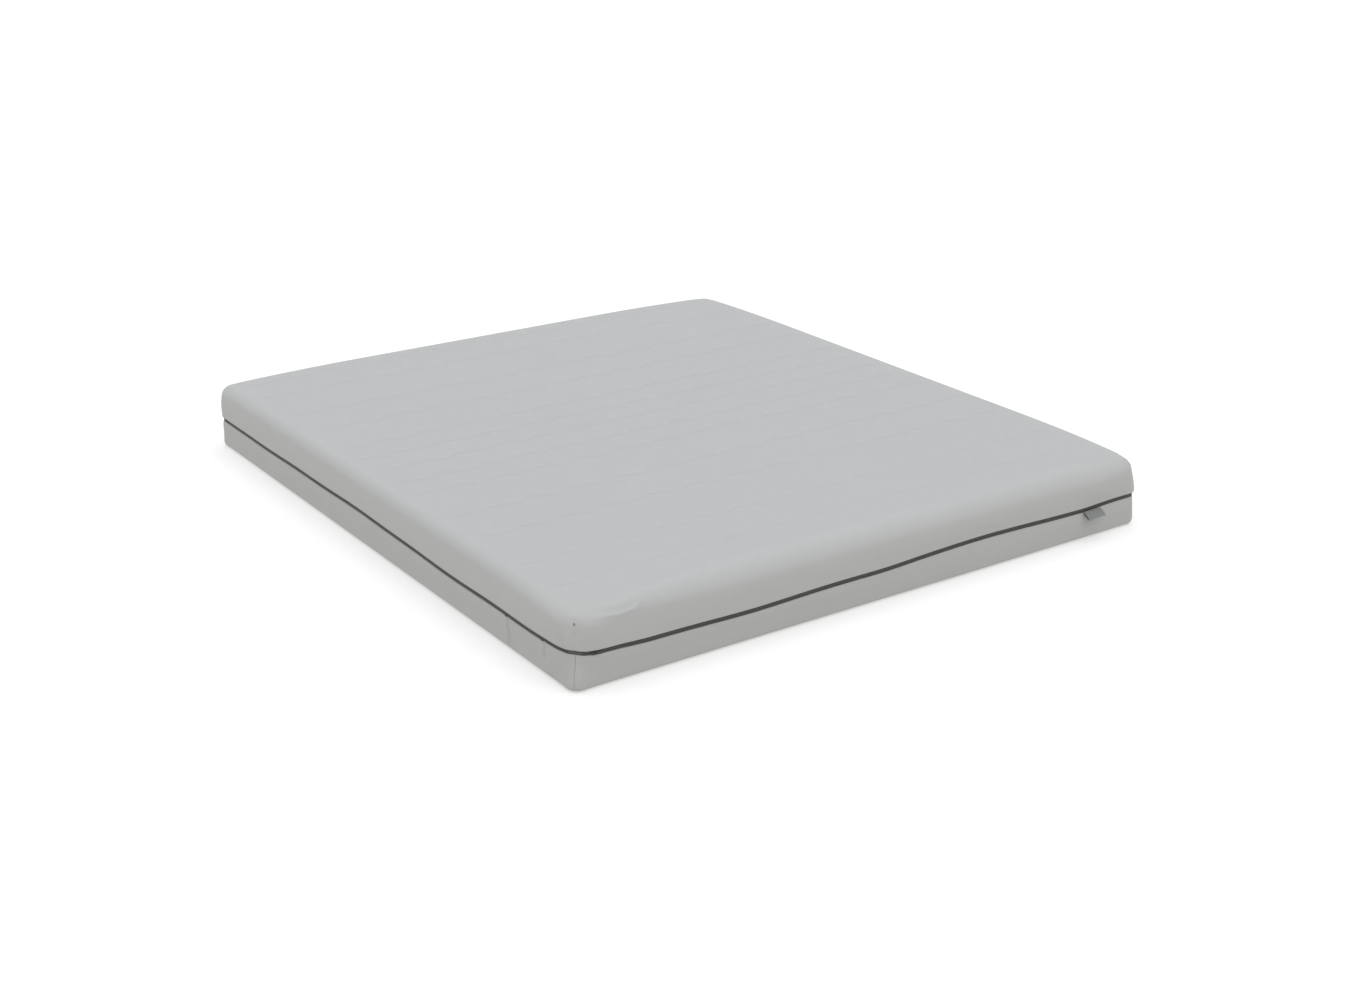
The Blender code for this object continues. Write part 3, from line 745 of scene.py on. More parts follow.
def quiltSag(x, y):
    # depth below the crown at unwaved places: each line is a valley that fades off exponentially,
    # pulled in unevenly by a sine of the wave's own length
    valley, bottom = 0, 0.0012                   # the valley's bottom is rounded by this much
    for number, (place, weight) in enumerate(lineTable):
        turn = 2 * np.pi * x / quilt["waveLength"] + 0.9 + 0.4 * number
        pulled = 1 - quilt["uneven"] * (0.5 + 0.5 * np.sin(turn))
        near = np.sqrt((y - place) ** 2 + bottom ** 2) - bottom
        valley = np.maximum(valley, weight * pulled * np.exp(-near / quilt["falloff"]))
    sag = quilt["depth"] * valley
    if puff["lift"] is not None:
        sag = sag + sampled(puff, x, y)
    return sag * edgeShare(x, y)


def crown(x, y):
    # broad unevenness of the stuffed top, lower towards its rim
    rim = np.minimum(coreX - np.abs(x), coreY - np.abs(y))
    roll = np.clip(1 - rim / cover["rimReach"], 0, 1) ** 2
    return 0.0014 * ripple(x, y, 0.42, 5) * smoothStep(rim / 0.15) - cover["rimDrop"] * roll


def sampled(field, x, y):
    # bilinear reading of a grid of values
    column = np.clip((x - field["x"][0]) / (field["x"][-1] - field["x"][0]), 0, 1) * (len(field["x"]) - 1)
    row = np.clip(np.interp(y, field["y"], np.arange(len(field["y"]))), 0, len(field["y"]) - 1)
    j = np.minimum(column.astype(int), len(field["x"]) - 2)
    i = np.minimum(row.astype(int), len(field["y"]) - 2)
    s, t, lift = column - j, row - i, field["lift"]
    return ((1 - t) * ((1 - s) * lift[i, j] + s * lift[i, j + 1])
            + t * ((1 - s) * lift[i + 1, j] + s * lift[i + 1, j + 1]))


def topSurface(x, y, inset):
    # the top at unwaved places: the height less an inset, the crown's unevenness and the quilting
    high = height - inset + crown(x, y) - quiltSag(x, y)
    return settle(np.stack([x, y + lineWave(x, y), high], -1))


def quiltRows(step, offsets):
    # rows along Y: on each stitch line, close beside it, and evenly between
    places = [place + side * offset for place, _ in lineTable for offset in offsets for side in (1, -1)]
    places = np.unique(np.round([-coreY, coreY] + [p for p in places if abs(p) < coreY - 0.004], 6))
    rows = [places[:1]]
    for low, high in zip(places, places[1:]):
        rows.append(np.linspace(low, high, int(np.ceil((high - low) / step)) + 1)[1:])
    return np.concatenate(rows)


upperBorder = {
    "dartTop": 0.165,        # the darts run from here down to the zip
    "dartDepth": 0.0015,
    "dartWidth": 0.0022,
    "lap": 0.0020,           # at the zip's ends the foot side lies over the left one
    "ripple": 0.0020,
    "rippleSize": 0.13,
    "creaseDepth": 0.0030,   # of the one long crease on the foot end's top edge
    "hemFold": 0.0035,
}


def upperWall(stations, line):
    # the upper border: a fullness by a half sine of height, ripples, darts at the corners, and a
    # hem that follows the zip's wave
    inset, level = np.broadcast_arrays(line[:, 0], line[:, 1] + 0 * stations["along"][:, None])
    rise = np.clip((level - hemTop) / (height - 0.5 * cover["topEdge"] - hemTop), 0, 1)
    full = np.sin(np.pi * rise)
    along = stations["along"][:, None]
    wave = (ripple(along, level, upperBorder["rippleSize"], 21) + 1) / 2
    dart = bump(cornerTurn(stations), 0, upperBorder["dartWidth"])[:, None]
    dart = dart * (1 - smoothStep((level - upperBorder["dartTop"] + 0.010) / 0.014))
    inset = inset - full * (cover["swell"] + upperBorder["ripple"] * wave) + upperBorder["dartDepth"] * dart
    # at the zip's ends the left side sinks behind the seam
    turned, atNear = cornerTurn(stations)[:, None], np.all(stations["core"] < 1 - coreX, axis=1)[:, None]
    lap = np.exp(-np.abs(turned) / 0.014) * smoothStep(0.5 - turned / 0.002)
    lap = lap * smoothStep((upperBorder["dartTop"] - level) / 0.03)
    inset = inset + upperBorder["lap"] * lap * (atNear & (np.abs(turned) < 0.7 * cover["cornerRadius"]))
    hem = 1 - smoothStep((level - hemTop - 0.004) / 0.055)
    level = level + zipWave(stations)[:, None] * hem
    # the foot end's top edge has one long soft crease beside the corner, which climbs to the top
    x, toFoot = stations["core"][:, :1], -stations["normal"][:, 1:]
    crease = smoothStep((x + 0.85) / 0.04) * smoothStep((-0.60 - x) / 0.06) * (toFoot > 0.9)
    climb = 0.020 * smoothStep((x + 0.73) / 0.09) - 0.008 * bump(x, -0.755, 0.045)
    path = level - (height - 0.012 + climb)
    fold = bump(path, 0, 0.0030) - 0.7 * bump(path, 0.007, 0.0040)
    inset = inset - upperBorder["creaseDepth"] * crease * fold
    # the rim's drop carries on over the edge's arc
    edge = cover["topEdge"]
    return inset, level - cover["rimDrop"] * smoothStep((level - height + edge) / edge)


def layerLine(inset, bottom, steps, drop, hem=False):
    # from the top edge round its arc in steps, and down the wall in as many as drop says. A hem turns
    # in under itself to the tape
    edge = (cover["topEdge"], height - cover["topEdge"])
    arc = arcLine(edge, cover["topEdge"] - inset, 90, 180, steps)
    if not hem:
        wall = np.linspace(edge[1], bottom, drop)[1:]
        return np.vstack([arc, np.stack([0 * wall + inset, wall], 1)])
    fold = upperBorder["hemFold"]
    wall = np.linspace(edge[1], bottom + fold, drop)[1:-1]
    wall = np.stack([0 * wall + inset, wall], 1)
    turned = arcLine((fold, bottom + fold), fold, 180, 270, 4)
    return np.vstack([arc, wall, turned, [[tapeInset - cover["clearance"], bottom]]])


def topLayer(name, inset, thickness, line, xs, ys, arcSteps, finish):
    # one layer of the top cover: an outer skin, and an inner one a thickness behind it
    stations = outline(xs, ys, arcSteps)
    x, y = np.meshgrid(xs, ys)
    inner = inward(line, thickness)
    loop = np.vstack([line[1:], inner[:0:-1]])
    rings = settle(placed(stations, *upperWall(stations, loop)))
    upper, lower = topSurface(x, y, inset), topSurface(x, y, inset + thickness)
    return shellPiece(name, stations, upper, rings, lower, finishes[finish])


puff.update(simulateQuilt())
layers = {"cloth": 0.0012, "wadding": 0.0090, "backing": 0.0008}           # thicknesses
xs = spaced(-coreX, coreX, 0.0112)
ys = quiltRows(0.022, (0, 0.0024, 0.0058, 0.0120, 0.0250))
line = layerLine(0, hemTop, 12, 12, hem=True)
topCloth = topLayer("topCoverCloth", 0, layers["cloth"], line, xs, ys, 16, "quiltedKnit")
hold(topCloth, "top_cover", "quilted_knit", "top_cloth")
print("top cloth:", len(topCloth.data.polygons), "faces")

waddingInset = layers["cloth"] + cover["clearance"]
waddingGap = 0.017                                       # the wadding stops this far from the zip
xs = spaced(-coreX, coreX, 0.0180)
ys = quiltRows(0.030, (0, 0.0060, 0.0180))
line = layerLine(waddingInset, zipHeight + waddingGap, 6, 7)
topWadding = topLayer("topWadding", waddingInset, layers["wadding"], line, xs, ys, 12, "fibreWadding")
hold(topWadding, "top_cover", "wadding", "top_wadding")

backingInset = waddingInset + layers["wadding"] + cover["clearance"]
line = layerLine(backingInset, zipHeight + waddingGap, 6, 7)
topBacking = topLayer("topBacking", backingInset, layers["backing"], line, xs, ys, 12, "backingFleece")
hold(topBacking, "top_cover", "backing", "top_backing")
print("wadding and backing made")


def stitches(name, finish, starts, runs, ups, length, width):
    # raised stitches: each a thread that dives at both ends, a half sine over its length
    share = np.linspace(-0.5, 0.5, 4)
    line = np.stack([share * length, width * (np.cos(np.pi * share) * 1.1 - 0.55)], 1)
    shape, faces = threadShape(line, width * np.array([0.7, 1, 1, 0.7]))
    sides = np.cross(ups, runs)
    points, faces = repeated(shape, faces, starts, runs, sides, ups)
    hold(addPiece(name, points, faces, finishes[finish]), "top_cover", "quilted_knit")


def unit(vectors):
    return vectors / np.linalg.norm(vectors, axis=-1, keepdims=True)


def quiltStitches():
    # stitches along every line, laid on the top cloth's own surface
    reach = coreX - 0.5 * quilt["edgeFade"]
    x = np.arange(-reach, reach, quilt["stitchPitch"])
    y = np.repeat([place for place, _ in lineTable], len(x))
    x = np.tile(x, len(lineTable))
    here, ahead, aside = topSurface(x, y, 0), topSurface(x + 0.001, y, 0), topSurface(x, y + 0.05, 0)
    run = unit(ahead - here)
    up = unit(np.cross(run, unit(aside - here)))
    stitches("quiltStitches", "quiltThreadAndHighlight", here, run, up, quilt["stitchLength"], quilt["thread"])


quiltStitches()

# Bar tacks that close the upper border's darts, one at each corner
tack = {"spread": 0.0010, "turns": 5, "length": 0.0050, "thread": 0.0009, "height": 0.184}


def cornerTacks():
    # a few short raised stitches side by side, across the top of each dart
    stations = outline(np.array([-coreX, coreX]), np.array([-coreY, coreY]), 16)
    middles = np.flatnonzero(np.abs(cornerTurn(stations)) < 1e-6)
    part = {key: stations[key][middles] for key in ("core", "normal", "along")}
    levels = tack["height"] + tack["spread"] * (np.arange(tack["turns"]) - tack["turns"] / 2)
    edge = cover["topEdge"]
    inset = edge - np.sqrt(edge ** 2 - np.clip(levels - height + edge, 0, edge) ** 2)
    line = np.stack([inset - 0.0002, levels], 1)
    places = settle(placed(part, *upperWall(part, line))).reshape(-1, 3)
    out = np.repeat(np.hstack([part["normal"], np.zeros((len(middles), 1))]), len(levels), axis=0)
    run = np.stack([-out[:, 1], out[:, 0], 0.12 * (-1.0) ** np.arange(len(out))], 1)
    stitches("cornerTacks", "tackThread", places, unit(run), out, tack["length"], tack["thread"])


cornerTacks()
print("stitching made")

# Zip: both halves follow the outline from the corner, round, and back to it
zipper = {
    "tapeThickness": 0.0008, "tapeWidth": 0.0160, "tapeEdge": 0.0009,
    "pitch": 0.0019, "tooth": 0.00085, "toothBreadth": 1.45,
    "head": 0.00035, "back": 0.0033,
}
zipStations = opened(outline(spaced(-coreX, coreX, 0.020), spaced(-coreY, coreY, 0.020), 12))


def zipTape(name, side, body, node):
    # a flat strip: its profile is a thin upright box
    edges = [zipHeight + side * zipper[key] for key in ("tapeWidth", "tapeEdge")]
    levels = np.linspace(max(edges), min(edges), 5)
    back = tapeInset + zipper["tapeThickness"]
    line = np.stack([np.full(5, tapeInset), levels], 1)
    loop = np.vstack([line, np.stack([np.full(5, back), levels[::-1]], 1)])
    points = settle(placed(zipStations, loop[:, 0], loop[:, 1] + zipWave(zipStations)[:, None]))
    made = stripPiece(name, points, finishes["zipTape"], along=zipStations["along"], profile=loop[:, 1])
    hold(made, body, "zip_tape", node)


def zipTeeth(name, side, body, node, offset):
    # one row of coil turns: a bent thread from the tape, forward, and round to the middle of the zip
    reach = zipper["tooth"] / 2
    front, tape = coilInset + reach, tapeInset - cover["clearance"] - reach
    level = zipHeight + zipWave(zipStations)[:, None]
    path = settle(placed(zipStations, np.full((1, 1), front), level)[:, 0])
    travelled = lengths(path)
    places = np.arange(zipper["pitch"] * (0.5 + offset), travelled[-1] - zipper["pitch"], zipper["pitch"])
    origin = np.stack([np.interp(places, travelled, path[:, axis]) for axis in range(3)], 1)
    outward = [np.interp(places, travelled, zipStations["normal"][:, axis]) for axis in range(2)]
    outward = np.hstack([unit(np.stack(outward, 1)), np.zeros((len(places), 1))])
    up = np.tile([0.0, 0.0, 1.0], (len(outward), 1))
    line = np.array([
        [front - tape, zipper["back"]], [-0.0003, zipper["back"] - 0.0004], [0.0, 0.0018],
        [-0.0001, zipper["head"] + 0.0004], [front - tape + 0.0003, zipper["head"]],
    ]) * [1, side]
    shape, faces = threadShape(line, zipper["tooth"])
    shape = shape * [1, zipper["toothBreadth"], 1]
    points, faces = repeated(shape, faces, origin, outward, np.cross(up, outward), up)
    hold(addPiece(name, points, faces, finishes["zipCoil"]), body, "zip_coil", node)


zipTape("upperZipTape", 1, "top_cover", "upper_zip_tape")
zipTape("lowerZipTape", -1, "bottom_cover", "lower_zip_tape")
zipTeeth("upperZipTeeth", 1, "top_cover", "upper_zip_coil", 0.0)
zipTeeth("lowerZipTeeth", -1, "bottom_cover", "lower_zip_coil", 0.5)
print("zip made")

# Lower border
lowerBorder = {
    "cloth": 0.0016,         # thickness
    "fold": 0.0035,
    "bulge": 0.0022,         # fullness just under the zip
    "ripple": 0.0013,
    "rippleSize": 0.15,
    "seamDepth": 0.0006,
    "seamWidth": 0.0030,
    "tucks": ((-0.715, 0.018, 0.078), (-0.875, 0.050, 0.083)),   # on the left side: y, from z, to z
    "tuckDepth": 0.0036,
    "tuckWidth": 0.0030,
    "fuller": 0.0042,        # how much fuller the foot end is on its right
    "endGap": 0.0020,        # how far the strips' ends are turned apart at the seams
}


def lowerWall(stations, loop):
    # the lower border: full under the zip, rippled, seamed at the corners, tucked on the left side,
    # and hemmed along the zip's wave
    inset, level = np.broadcast_arrays(loop[:, 0], loop[:, 1] + 0 * stations["along"][:, None])
    along = stations["along"][:, None]
    free = smoothStep(level / 0.03) * smoothStep((hemBottom - level) / 0.008)
    uneven = 0.65 + 0.35 * ripple(along, 0 * level, 0.22, 31)
    swell = lowerBorder["bulge"] * bump(level, 0.064, 0.014) * uneven
    swell = swell + lowerBorder["ripple"] * ripple(along, level, lowerBorder["rippleSize"], 33) * 0.7
    seam = bump(cornerTurn(stations), 0, lowerBorder["seamWidth"])[:, None] * smoothStep((level - 0.008) / 0.01)
    y, toLeft = stations["core"][:, 1:], -stations["normal"][:, :1]
    tuck = 0
    for place, low, high in lowerBorder["tucks"]:
        reach = smoothStep((level - low + 0.012) / 0.012) * smoothStep((high + 0.012 - level) / 0.012)
        lean = place + 0.10 * (level - high)
        fold = bump(y, lean, lowerBorder["tuckWidth"]) - 0.7 * bump(y, lean + 0.008, 0.006)
        tuck = tuck + reach * fold * (toLeft > 0.99)
    # the foot end's border is fuller to the right: a parabola of height, widest at its middle
    fuller = -np.clip(stations["normal"][:, 1:], -1, 0) * smoothStep((stations["core"][:, :1] + 0.55) / 0.9)
    fuller = fuller * smoothStep((coreX + 0.03 - stations["core"][:, :1]) / 0.12)
    inset = inset - lowerBorder["fuller"] * fuller * np.clip(1 - ((level - 0.036) / 0.048) ** 2, 0, 1)
    inset = inset - free * swell + lowerBorder["seamDepth"] * seam + lowerBorder["tuckDepth"] * tuck
    follow = smoothStep((level - 0.030) / 0.045)
    return inset, level + zipWave(stations)[:, None] * follow


def borderPlaces():
    # places along the ends and sides, closer beside the tucks
    across, along = spaced(-coreX, coreX, 0.0065), spaced(-coreY, coreY, 0.0065)
    extra = [place + shift for place, _, _ in lowerBorder["tucks"] for shift in np.linspace(-0.016, 0.016, 17)]
    keep = np.min(np.abs(along[:, None] - np.array(extra)[None]), axis=1) > 0.0012
    return across, np.sort(np.concatenate([along[keep], extra]))


def bottomLines():
    # the cloth: from the tape out round the folded edge, down the wall and in under the bottom edge
    outer, fold, edge = borderInset, lowerBorder["fold"] / 2, cover["bottomEdge"]
    top = arcLine((outer + fold, hemBottom - fold), fold, 90, 180, 4)
    under = arcLine((outer + edge, edge + cover["clearance"]), edge, 180, 270, 8)
    wall = np.linspace(hemBottom - fold, edge, 12)[1:-1]
    cloth = np.vstack([
        [[tapeInset - cover["clearance"], hemBottom]], top, np.stack([0 * wall + outer, wall], 1), under,
        [[baseInset - cover["clearance"], cover["clearance"]]],
    ])
    # the wadding: a flat strip behind it that tapers into the bottom edge
    front, back = outer + lowerBorder["cloth"] + cover["clearance"], coreInset - cover["clearance"]
    radius = edge - lowerBorder["cloth"] - cover["clearance"]
    last = 180 + math.degrees(math.acos((outer + edge - back) / radius))
    levels = np.linspace(zipHeight - 0.017, edge, 8)[:-1]
    under = arcLine((outer + edge, edge + cover["clearance"]), radius, 180, last, 4)
    wadding = np.vstack([np.stack([0 * levels + front, levels], 1), under[:-1]])
    behind = np.stack([np.full(len(wadding), back), wadding[::-1, 1]], 1)
    return np.vstack([cloth, inward(cloth, lowerBorder["cloth"])[::-1]]), np.vstack([wadding, behind])


def lowerBorders():
    # four strips of cloth and four of wadding, each from the middle of one corner to the next
    across, along = borderPlaces()
    arcSteps = 16
    stations = opened(outline(across, along, arcSteps))
    clothLoop, waddingLoop = bottomLines()
    last = 0
    for side, row in zip(("foot", "right", "head", "left"), (across, along, across, along)):
        first, last = last, last + len(row) + arcSteps - 1
        part = cut(stations, first, last)
        part["normal"] = part["normal"].copy()
        for end, sign in ((0, 1), (-1, -1)):
            n = part["normal"][end]
            part["normal"][end] = n + sign * lowerBorder["endGap"] * np.array([-n[1], n[0]])
        cloth = settle(placed(part, *lowerWall(part, clothLoop)))
        made = stripPiece(f"lowerBorderCloth.{side}", cloth, finishes["borderKnit"], along=part["along"],
                          profile=lengths(clothLoop))
        hold(made, "bottom_cover", "border_knit", f"border_cloth_{side}")
        padding = settle(placed(part, *lowerWall(part, waddingLoop)))
        padding = stripPiece(f"lowerBorderWadding.{side}", padding, finishes["fibreWadding"])
        hold(padding, "bottom_cover", "wadding", f"border_wadding_{side}")


lowerBorders()
print("lower border made")

# Scrap of tape over the zip's two ends, at the near corner
endTab = {
    "front": 0.0028, "halfHeight": 0.0042, "reach": 0.50, "ply": 0.0009, "flat": (0.010, 0.027),
    "step": 0.0016,          # its left end lies this much higher
}


def cornerStations(reach, steps):
    # stations turning about the near corner only, by an angle either side of its middle
    angle = 1.25 * np.pi + np.linspace(-reach, reach, steps)
    normal = np.stack([np.cos(angle), np.sin(angle)], 1)
    core = np.tile([-coreX, -coreY], (steps, 1))
    along = (angle - angle[0]) * cover["cornerRadius"]
    return {"core": core, "normal": normal, "along": along, "round": along[-1]}


def endTabPiece():
    # a thin upright box bent round the corner, its edges a little lower at the ends
    stations = cornerStations(endTab["reach"], 41)
    levels = zipHeight + endTab["halfHeight"] * np.linspace(1, -1, 9)
    front = endTab["front"] + 0.0006 * ((levels - zipHeight) / endTab["halfHeight"]) ** 4
    line = np.stack([front, levels], 1)
    loop = np.vstack([line, np.stack([front[::-1] + endTab["ply"], levels[::-1]], 1)])
    u, v = stations["along"][:, None], loop[:, 1][None]
    side = 1 - smoothStep(u / stations["round"] * 3 - 1)      # 1 left of the corner, 0 right of it
    v = zipHeight + zipWave(stations)[:, None] + (v - zipHeight) * (0.85 + 0.2 * side) + endTab["step"] * side
    inset = loop[:, 0] + 0.00022 * ripple(u, v, 0.007, 41) - 0.0005 * side
    made = stripPiece("zipEndTab", settle(placed(stations, inset, v + 0 * u)), finishes["zipTape"],
                      along=stations["along"], profile=loop[:, 1])
    hold(made, "bottom_cover", "zip_tape", "zip_end_tab")


endTabPiece()


# Care label: a loop of tape, its two ends sewn in the seam under the zip
labelLow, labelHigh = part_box("care_label")
label = {
    "length": 0.029, "halfThickness": 0.0026, "slope": 31, "ply": 0.0004, "standOff": 0.0013,
    "below": 0.00175, "seam": 0.4, "curl": 0.0012, "twist": 0.0006,
}


def labelPiece():
    # seen from its side a teardrop: cosine along, sine across, leaving out the turn held by the seam
    turn = np.linspace(label["seam"], 2 * np.pi - label["seam"], 41)
    along = label["length"] * (math.cos(label["seam"]) - np.cos(turn)) / 2
    slope = math.radians(label["slope"])
    across = np.linspace(labelLow.x, labelHigh.x, 32)
    share = (across - labelLow.x) / (labelHigh.x - labelLow.x) * 2 - 1
    root = np.array([borderInset - label["standOff"], hemBottom - label["below"]])
    sections = []
    for shift in (0.0, label["ply"]):
        out = along - shift * np.sign(along - along.mean()) * np.abs(np.cos(turn))
        lift = (label["halfThickness"] - shift) * np.sin(turn)
        inset = root[0] - np.cos(slope) * out - np.sin(slope) * lift
        level = root[1] - np.sin(slope) * out + np.cos(slope) * lift
        sections.append(np.stack([inset, level], 1))
    loop = np.vstack([sections[0], sections[1][::-1]])
    out = np.concatenate([along, along[::-1]]) / label["length"]
    share = share[:, None]
    level = loop[:, 1] - label["curl"] * out * share ** 2 + label["twist"] * out * np.sin(2.2 * share)
    y = -halfLength + loop[:, 0] + 0 * level
    x = across[:, None] + 0 * level
    made = stripPiece("careLabel", np.stack([x, y, level], -1), finishes["labelSatin"], along=across,
                      profile=lengths(loop))
    hold(made, "bottom_cover", "label_tape", "care_label")


labelPiece()

# Base cloth with its grip dots
base = {"low": 0.0006, "thickness": 0.0010, "dotPitch": 0.026, "dotRadius": 0.0032, "dotHeight": 0.0007}


def basePieces():
    # a flat panel over staggered rows of low eight-sided dots
    xs, ys = spaced(-coreX, coreX, 0.030), spaced(-coreY, coreY, 0.030)
    stations = outline(xs, ys, 12)
    x, y = np.meshgrid(xs, ys)
    levels = base["low"] + base["thickness"], base["low"]
    rings = placed(stations, baseInset, np.tile(levels, (len(stations["along"]), 1)))
    upper, lower = (np.stack([x, y, level + 0 * x], -1) for level in levels)
    made = shellPiece("baseCloth", stations, upper, rings, lower, finishes["gripCloth"])
    hold(made, "bottom_cover", "anti_slip_cloth", "base_cloth")
    pitch, margin = base["dotPitch"], baseInset + 0.015
    rows = np.arange(-halfLength + margin, halfLength - margin, pitch * math.sqrt(3) / 2)
    columns = np.arange(-halfWidth + margin, halfWidth - margin - pitch / 2, pitch)
    x, y = np.meshgrid(columns, rows)
    x = x + pitch / 2 * (np.arange(len(rows)) % 2)[:, None]
    places = np.stack([x.ravel(), y.ravel(), 0 * x.ravel()], 1)
    turn = np.arange(8) * np.pi / 4
    ringed = np.stack([np.cos(turn), np.sin(turn)], 1)
    top = np.hstack([ringed * base["dotRadius"], np.full((8, 1), base["dotHeight"])])
    rim = np.hstack([ringed * base["dotRadius"] * 0.62, np.full((8, 1), 0.0001)])
    here, following = np.arange(8), (np.arange(8) + 1) % 8
    faces = [np.stack([here, following, following + 8, here + 8], 1), here[None, ::-1], (here + 8)[None]]
    axes = [np.tile(axis, (len(places), 1)) for axis in np.eye(3)]
    points, faces = repeated(np.vstack([top, rim]), faces, places, *axes)
    dots = addPiece("gripDots", points, faces, finishes["gripDots"])
    hold(dots, "bottom_cover", "anti_slip_cloth")


basePieces()
print("base made")

# Foam core
foam = {
    "channelHalf": 0.0030, "channelSlant": 0.0002, "channelDepth": 0.025, "channelPitch": 0.050,
    "outerPitch": 0.100, "closeTo": 0.33, "margin": 0.090, "roughness": 0.0004,
    "clear": 0.0012,         # the memory foam stays this much below its box, clear of the backing
}


def channelPlaces():
    # close together under the hips, further apart towards both ends
    places, y = [], foam["channelPitch"] / 2
    while y < halfLength - coreInset - foam["margin"]:
        places += [y, -y]
        y += foam["channelPitch"] if y < foam["closeTo"] else foam["outerPitch"]
    return np.sort(places)


def foamPiece(name, slot, line, channels=(), rimDrop=0.0):
    # a slab: flat top and bottom grids and a wall by the line of (inset, height) points from top to
    # bottom. Channels are valleys across the top that also open the wall. Node and slot share a name
    finish = finishes[name]
    xs = spaced(-coreX, coreX, 0.030)
    ys = spaced(-coreY, coreY, 0.030)
    wide, narrow = foam["channelHalf"] + foam["channelSlant"], foam["channelHalf"] - foam["channelSlant"]
    if len(channels):
        edges = np.concatenate([channels + shift for shift in (-wide, -narrow, narrow, wide)])
        clear = np.min(np.abs(ys[:, None] - np.asarray(channels)[None]), axis=1) > 0.006
        ys = np.sort(np.concatenate([ys[clear], edges]))

    def cutDepth(y):
        inside = np.any(np.abs(y[..., None] - np.asarray(channels)) < foam["channelHalf"], axis=-1)
        return foam["channelDepth"] * inside

    stations = outline(xs, ys, 12)
    x, y = np.meshgrid(xs, ys)
    top, bottom = line[0, 1], line[-1, 1]
    rough = foam["roughness"] * ripple(x, y, 0.05, 51)
    clear = foam["clear"] * (rimDrop > 0)
    rim = np.clip(1 - np.minimum(coreX - np.abs(x), coreY - np.abs(y)) / cover["rimReach"], 0, 1) ** 2 * rimDrop
    upper = settle(np.stack([x, y, top - np.abs(rough) - cutDepth(y) - rim - clear], -1))
    lower = settle(np.stack([x, y, bottom + 0 * x], -1))
    inset, level = np.broadcast_arrays(line[:, 0], line[:, 1] + 0 * stations["along"][:, None])
    side = (np.abs(stations["normal"][:, 0]) > 0.999)[:, None]
    depth = cutDepth(stations["core"][:, 1:]) * side
    level = np.minimum(level, top - depth * (1 + 0.002 * np.arange(len(line))))
    inset = inset + np.abs(foam["roughness"] * ripple(stations["along"][:, None], level, 0.04, 52))
    level = level - (rimDrop + clear) * smoothStep((level - top + 0.02) / 0.02)
    rings = settle(placed(stations, inset, level))
    made = shellPiece(name, stations, upper, rings, lower, finish, smooth=not len(channels))
    hold(made, "bottom_cover", slot, slot)


def slabLine(node, topRadius=0.0, bottomRadius=0.0, levels=6):
    # the wall of a slab from the frame's own box, with rounded upper or lower edges
    low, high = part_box(node)
    parts = []
    if topRadius:
        parts.append(arcLine((coreInset + topRadius, high.z - topRadius), topRadius, 90, 180, 8))
    wall = np.linspace(high.z - topRadius, low.z + bottomRadius, levels)[bool(topRadius):]
    parts.append(np.stack([0 * wall + coreInset, wall], 1))
    if bottomRadius:
        parts.append(arcLine((coreInset + bottomRadius, low.z + bottomRadius), bottomRadius, 180, 270, 4)[1:])
    return np.vstack(parts)


foamPiece("supportFoam", "support_foam", slabLine("support_foam", bottomRadius=0.005))
foamPiece("comfortFoam", "comfort_foam", slabLine("comfort_foam"), channelPlaces())
foamPiece("memoryFoam", "memory_foam", slabLine("memory_foam", topRadius=0.020), rimDrop=cover["rimDrop"])
print("foam core made")


# Slider and pull: bevelled copies of the frame's own shapes
sliderRise = 0.0011                                      # the coil lies this much higher at their place


def bevelledCopy(name, node, width):
    # the node's loose triangles merged, flat faces joined, and every edge rounded by a bevel. Node and
    # body share a name
    data = bmesh.new()
    data.from_mesh(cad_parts[node].data)
    bmesh.ops.remove_doubles(data, verts=data.verts, dist=1e-6)
    bmesh.ops.dissolve_limit(data, angle_limit=math.radians(2), verts=data.verts, edges=data.edges)
    mesh = bpy.data.meshes.new(name)
    data.to_mesh(mesh)
    data.free()
    mesh.transform(Matrix.Translation((0, 0, sliderRise)))
    mesh.materials.clear()
    mesh.materials.append(finishes["sliderCoat"])
    mesh.shade_smooth()
    made = linked(name, mesh)
    bevel = made.modifiers.new("round", "BEVEL")
    bevel.width, bevel.segments, bevel.limit_method, bevel.angle_limit = width, 2, "ANGLE", math.radians(25)
    bevel.harden_normals = True
    hold(made, node, "slider_coating", node)


bevelledCopy("zipSlider", "zip_slider", 0.00012)
bevelledCopy("zipPull", "zip_pull", 0.00016)
print("slider and pull made")


# Floor, light and camera
studio = {
    "floorGlow": 0.50, "floorColour": (0.32, 0.315, 0.30), "glowColour": (1.0, 0.99, 0.965), "floorSize": 60.0,
    "seenGlow": 0.31, "seenColour": (0.75, 0.75, 0.75),
    "sky": 0.66, "sun": 1.24, "sunSize": 80, "sunFrom": (0.0, -0.05, 1.0),
    "lens": 50.0, "place": (-2.8439, -4.1823, 1.9246), "turn": -35.03, "tilt": 21.24, "roll": 0.25,
}


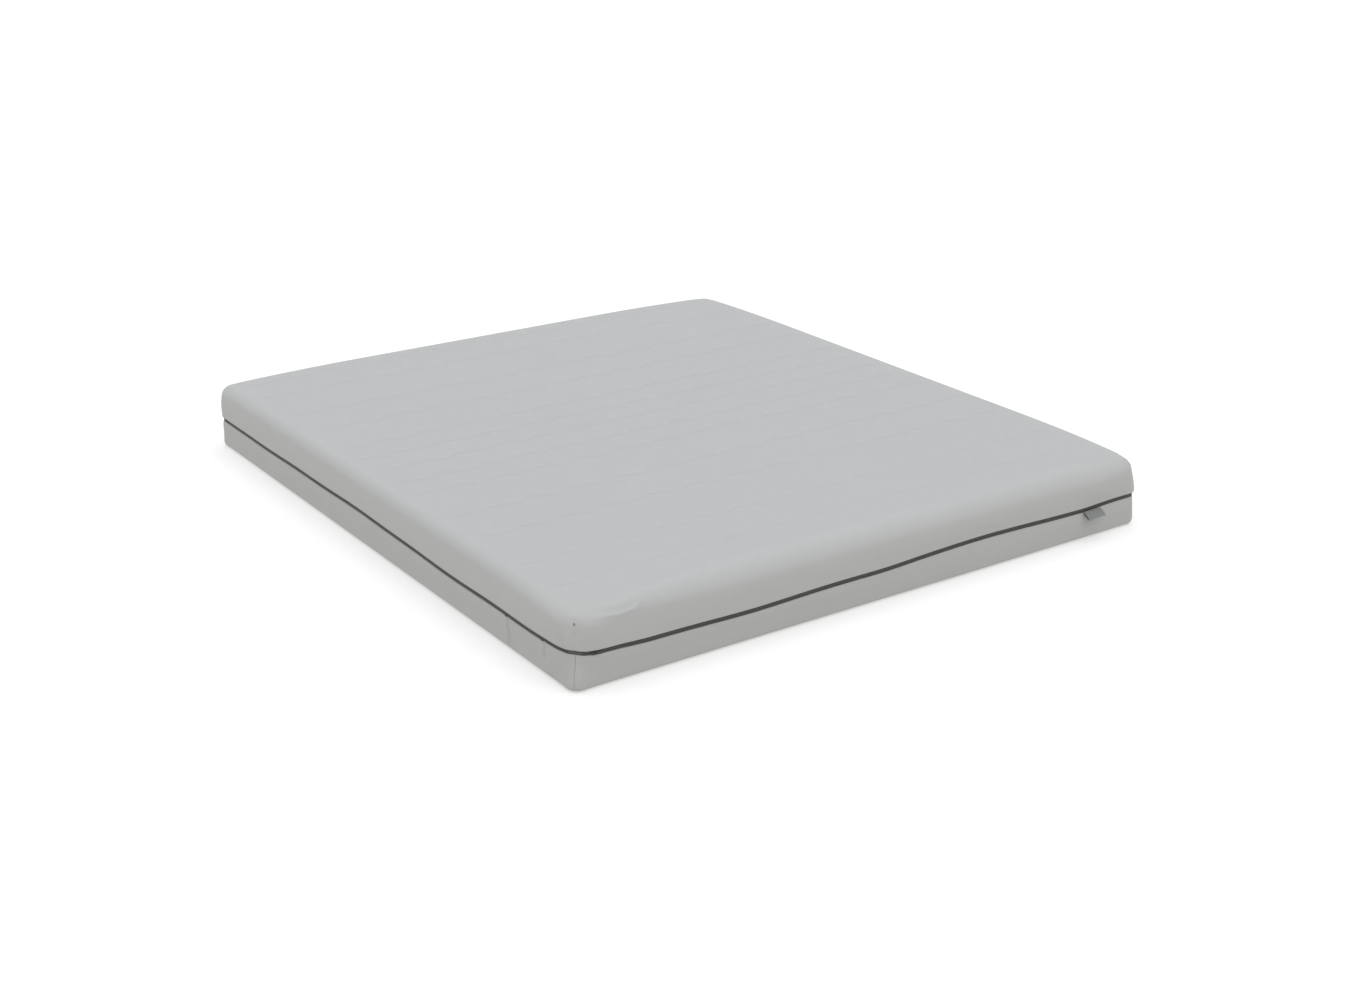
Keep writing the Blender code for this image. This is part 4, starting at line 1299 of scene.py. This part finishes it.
def makeStudio():
    far, low = studio["floorSize"], -0.0002
    floorMesh = bpy.data.meshes.new("floor")
    square = [(-far, -far, low), (far, -far, low), (far, far, low), (-far, far, low)]
    floorMesh.from_pydata(square, [], [(0, 1, 2, 3)])
    paper, tree, shader = newFinish("paleFloor", roughness=1.0, specular=0.0)
    # as the camera sees it the floor is plain white; the light it gives back to the piece glows
    seen = addNode(tree, "LightPath")["Is Camera Ray"]
    for socket, given, looked in (
        ("Base Color", studio["floorColour"], studio["seenColour"]),
        ("Emission Color", studio["glowColour"], (1, 1, 1)),
        ("Emission Strength", (studio["floorGlow"],) * 3, (studio["seenGlow"],) * 3),
    ):
        choice = addNode(tree, "MixRGB", Fac=seen, Color1=(*given, 1), Color2=(*looked, 1))[0]
        tree.links.new(choice, shader.inputs[socket])
    floorMesh.materials.append(paper)
    linked("floor", floorMesh)

    world = bpy.data.worlds.new("studio")
    world.use_nodes = True
    tree = world.node_tree
    sky = tree.nodes["Background"]
    sky.inputs["Color"].default_value = (1, 1, 1, 1)
    sky.inputs["Strength"].default_value = studio["sky"]
    seen = addNode(tree, "LightPath")["Is Camera Ray"]
    plain = addNode(tree, "Background", Color=(1, 1, 1, 1))[0]
    mix = addNode(tree, "MixShader", i0=seen, i1=sky.outputs[0], i2=plain)[0]
    tree.links.new(mix, tree.nodes["World Output"].inputs[0])
    bpy.context.scene.world = world

    lamp = bpy.data.lights.new("softbox", "SUN")
    lamp.energy, lamp.angle = studio["sun"], math.radians(studio["sunSize"])
    aim = Vector(studio["sunFrom"]).to_track_quat("Z", "Y")
    linked("softbox", lamp).rotation_euler = aim.to_euler()

    lens = bpy.data.cameras.new("camera")
    lens.lens, lens.sensor_width, lens.clip_end = studio["lens"], 36.0, 200.0
    camera = linked("camera", lens)
    aim = Matrix.Translation(studio["place"])
    for axis, degrees in (("Z", studio["turn"]), ("X", 90 - studio["tilt"]), ("Z", studio["roll"])):
        aim = aim @ Matrix.Rotation(math.radians(degrees), 4, axis)
    camera.matrix_world = aim
    bpy.context.scene.camera = camera
    bpy.context.scene.view_settings.view_transform = "Standard"


makeStudio()
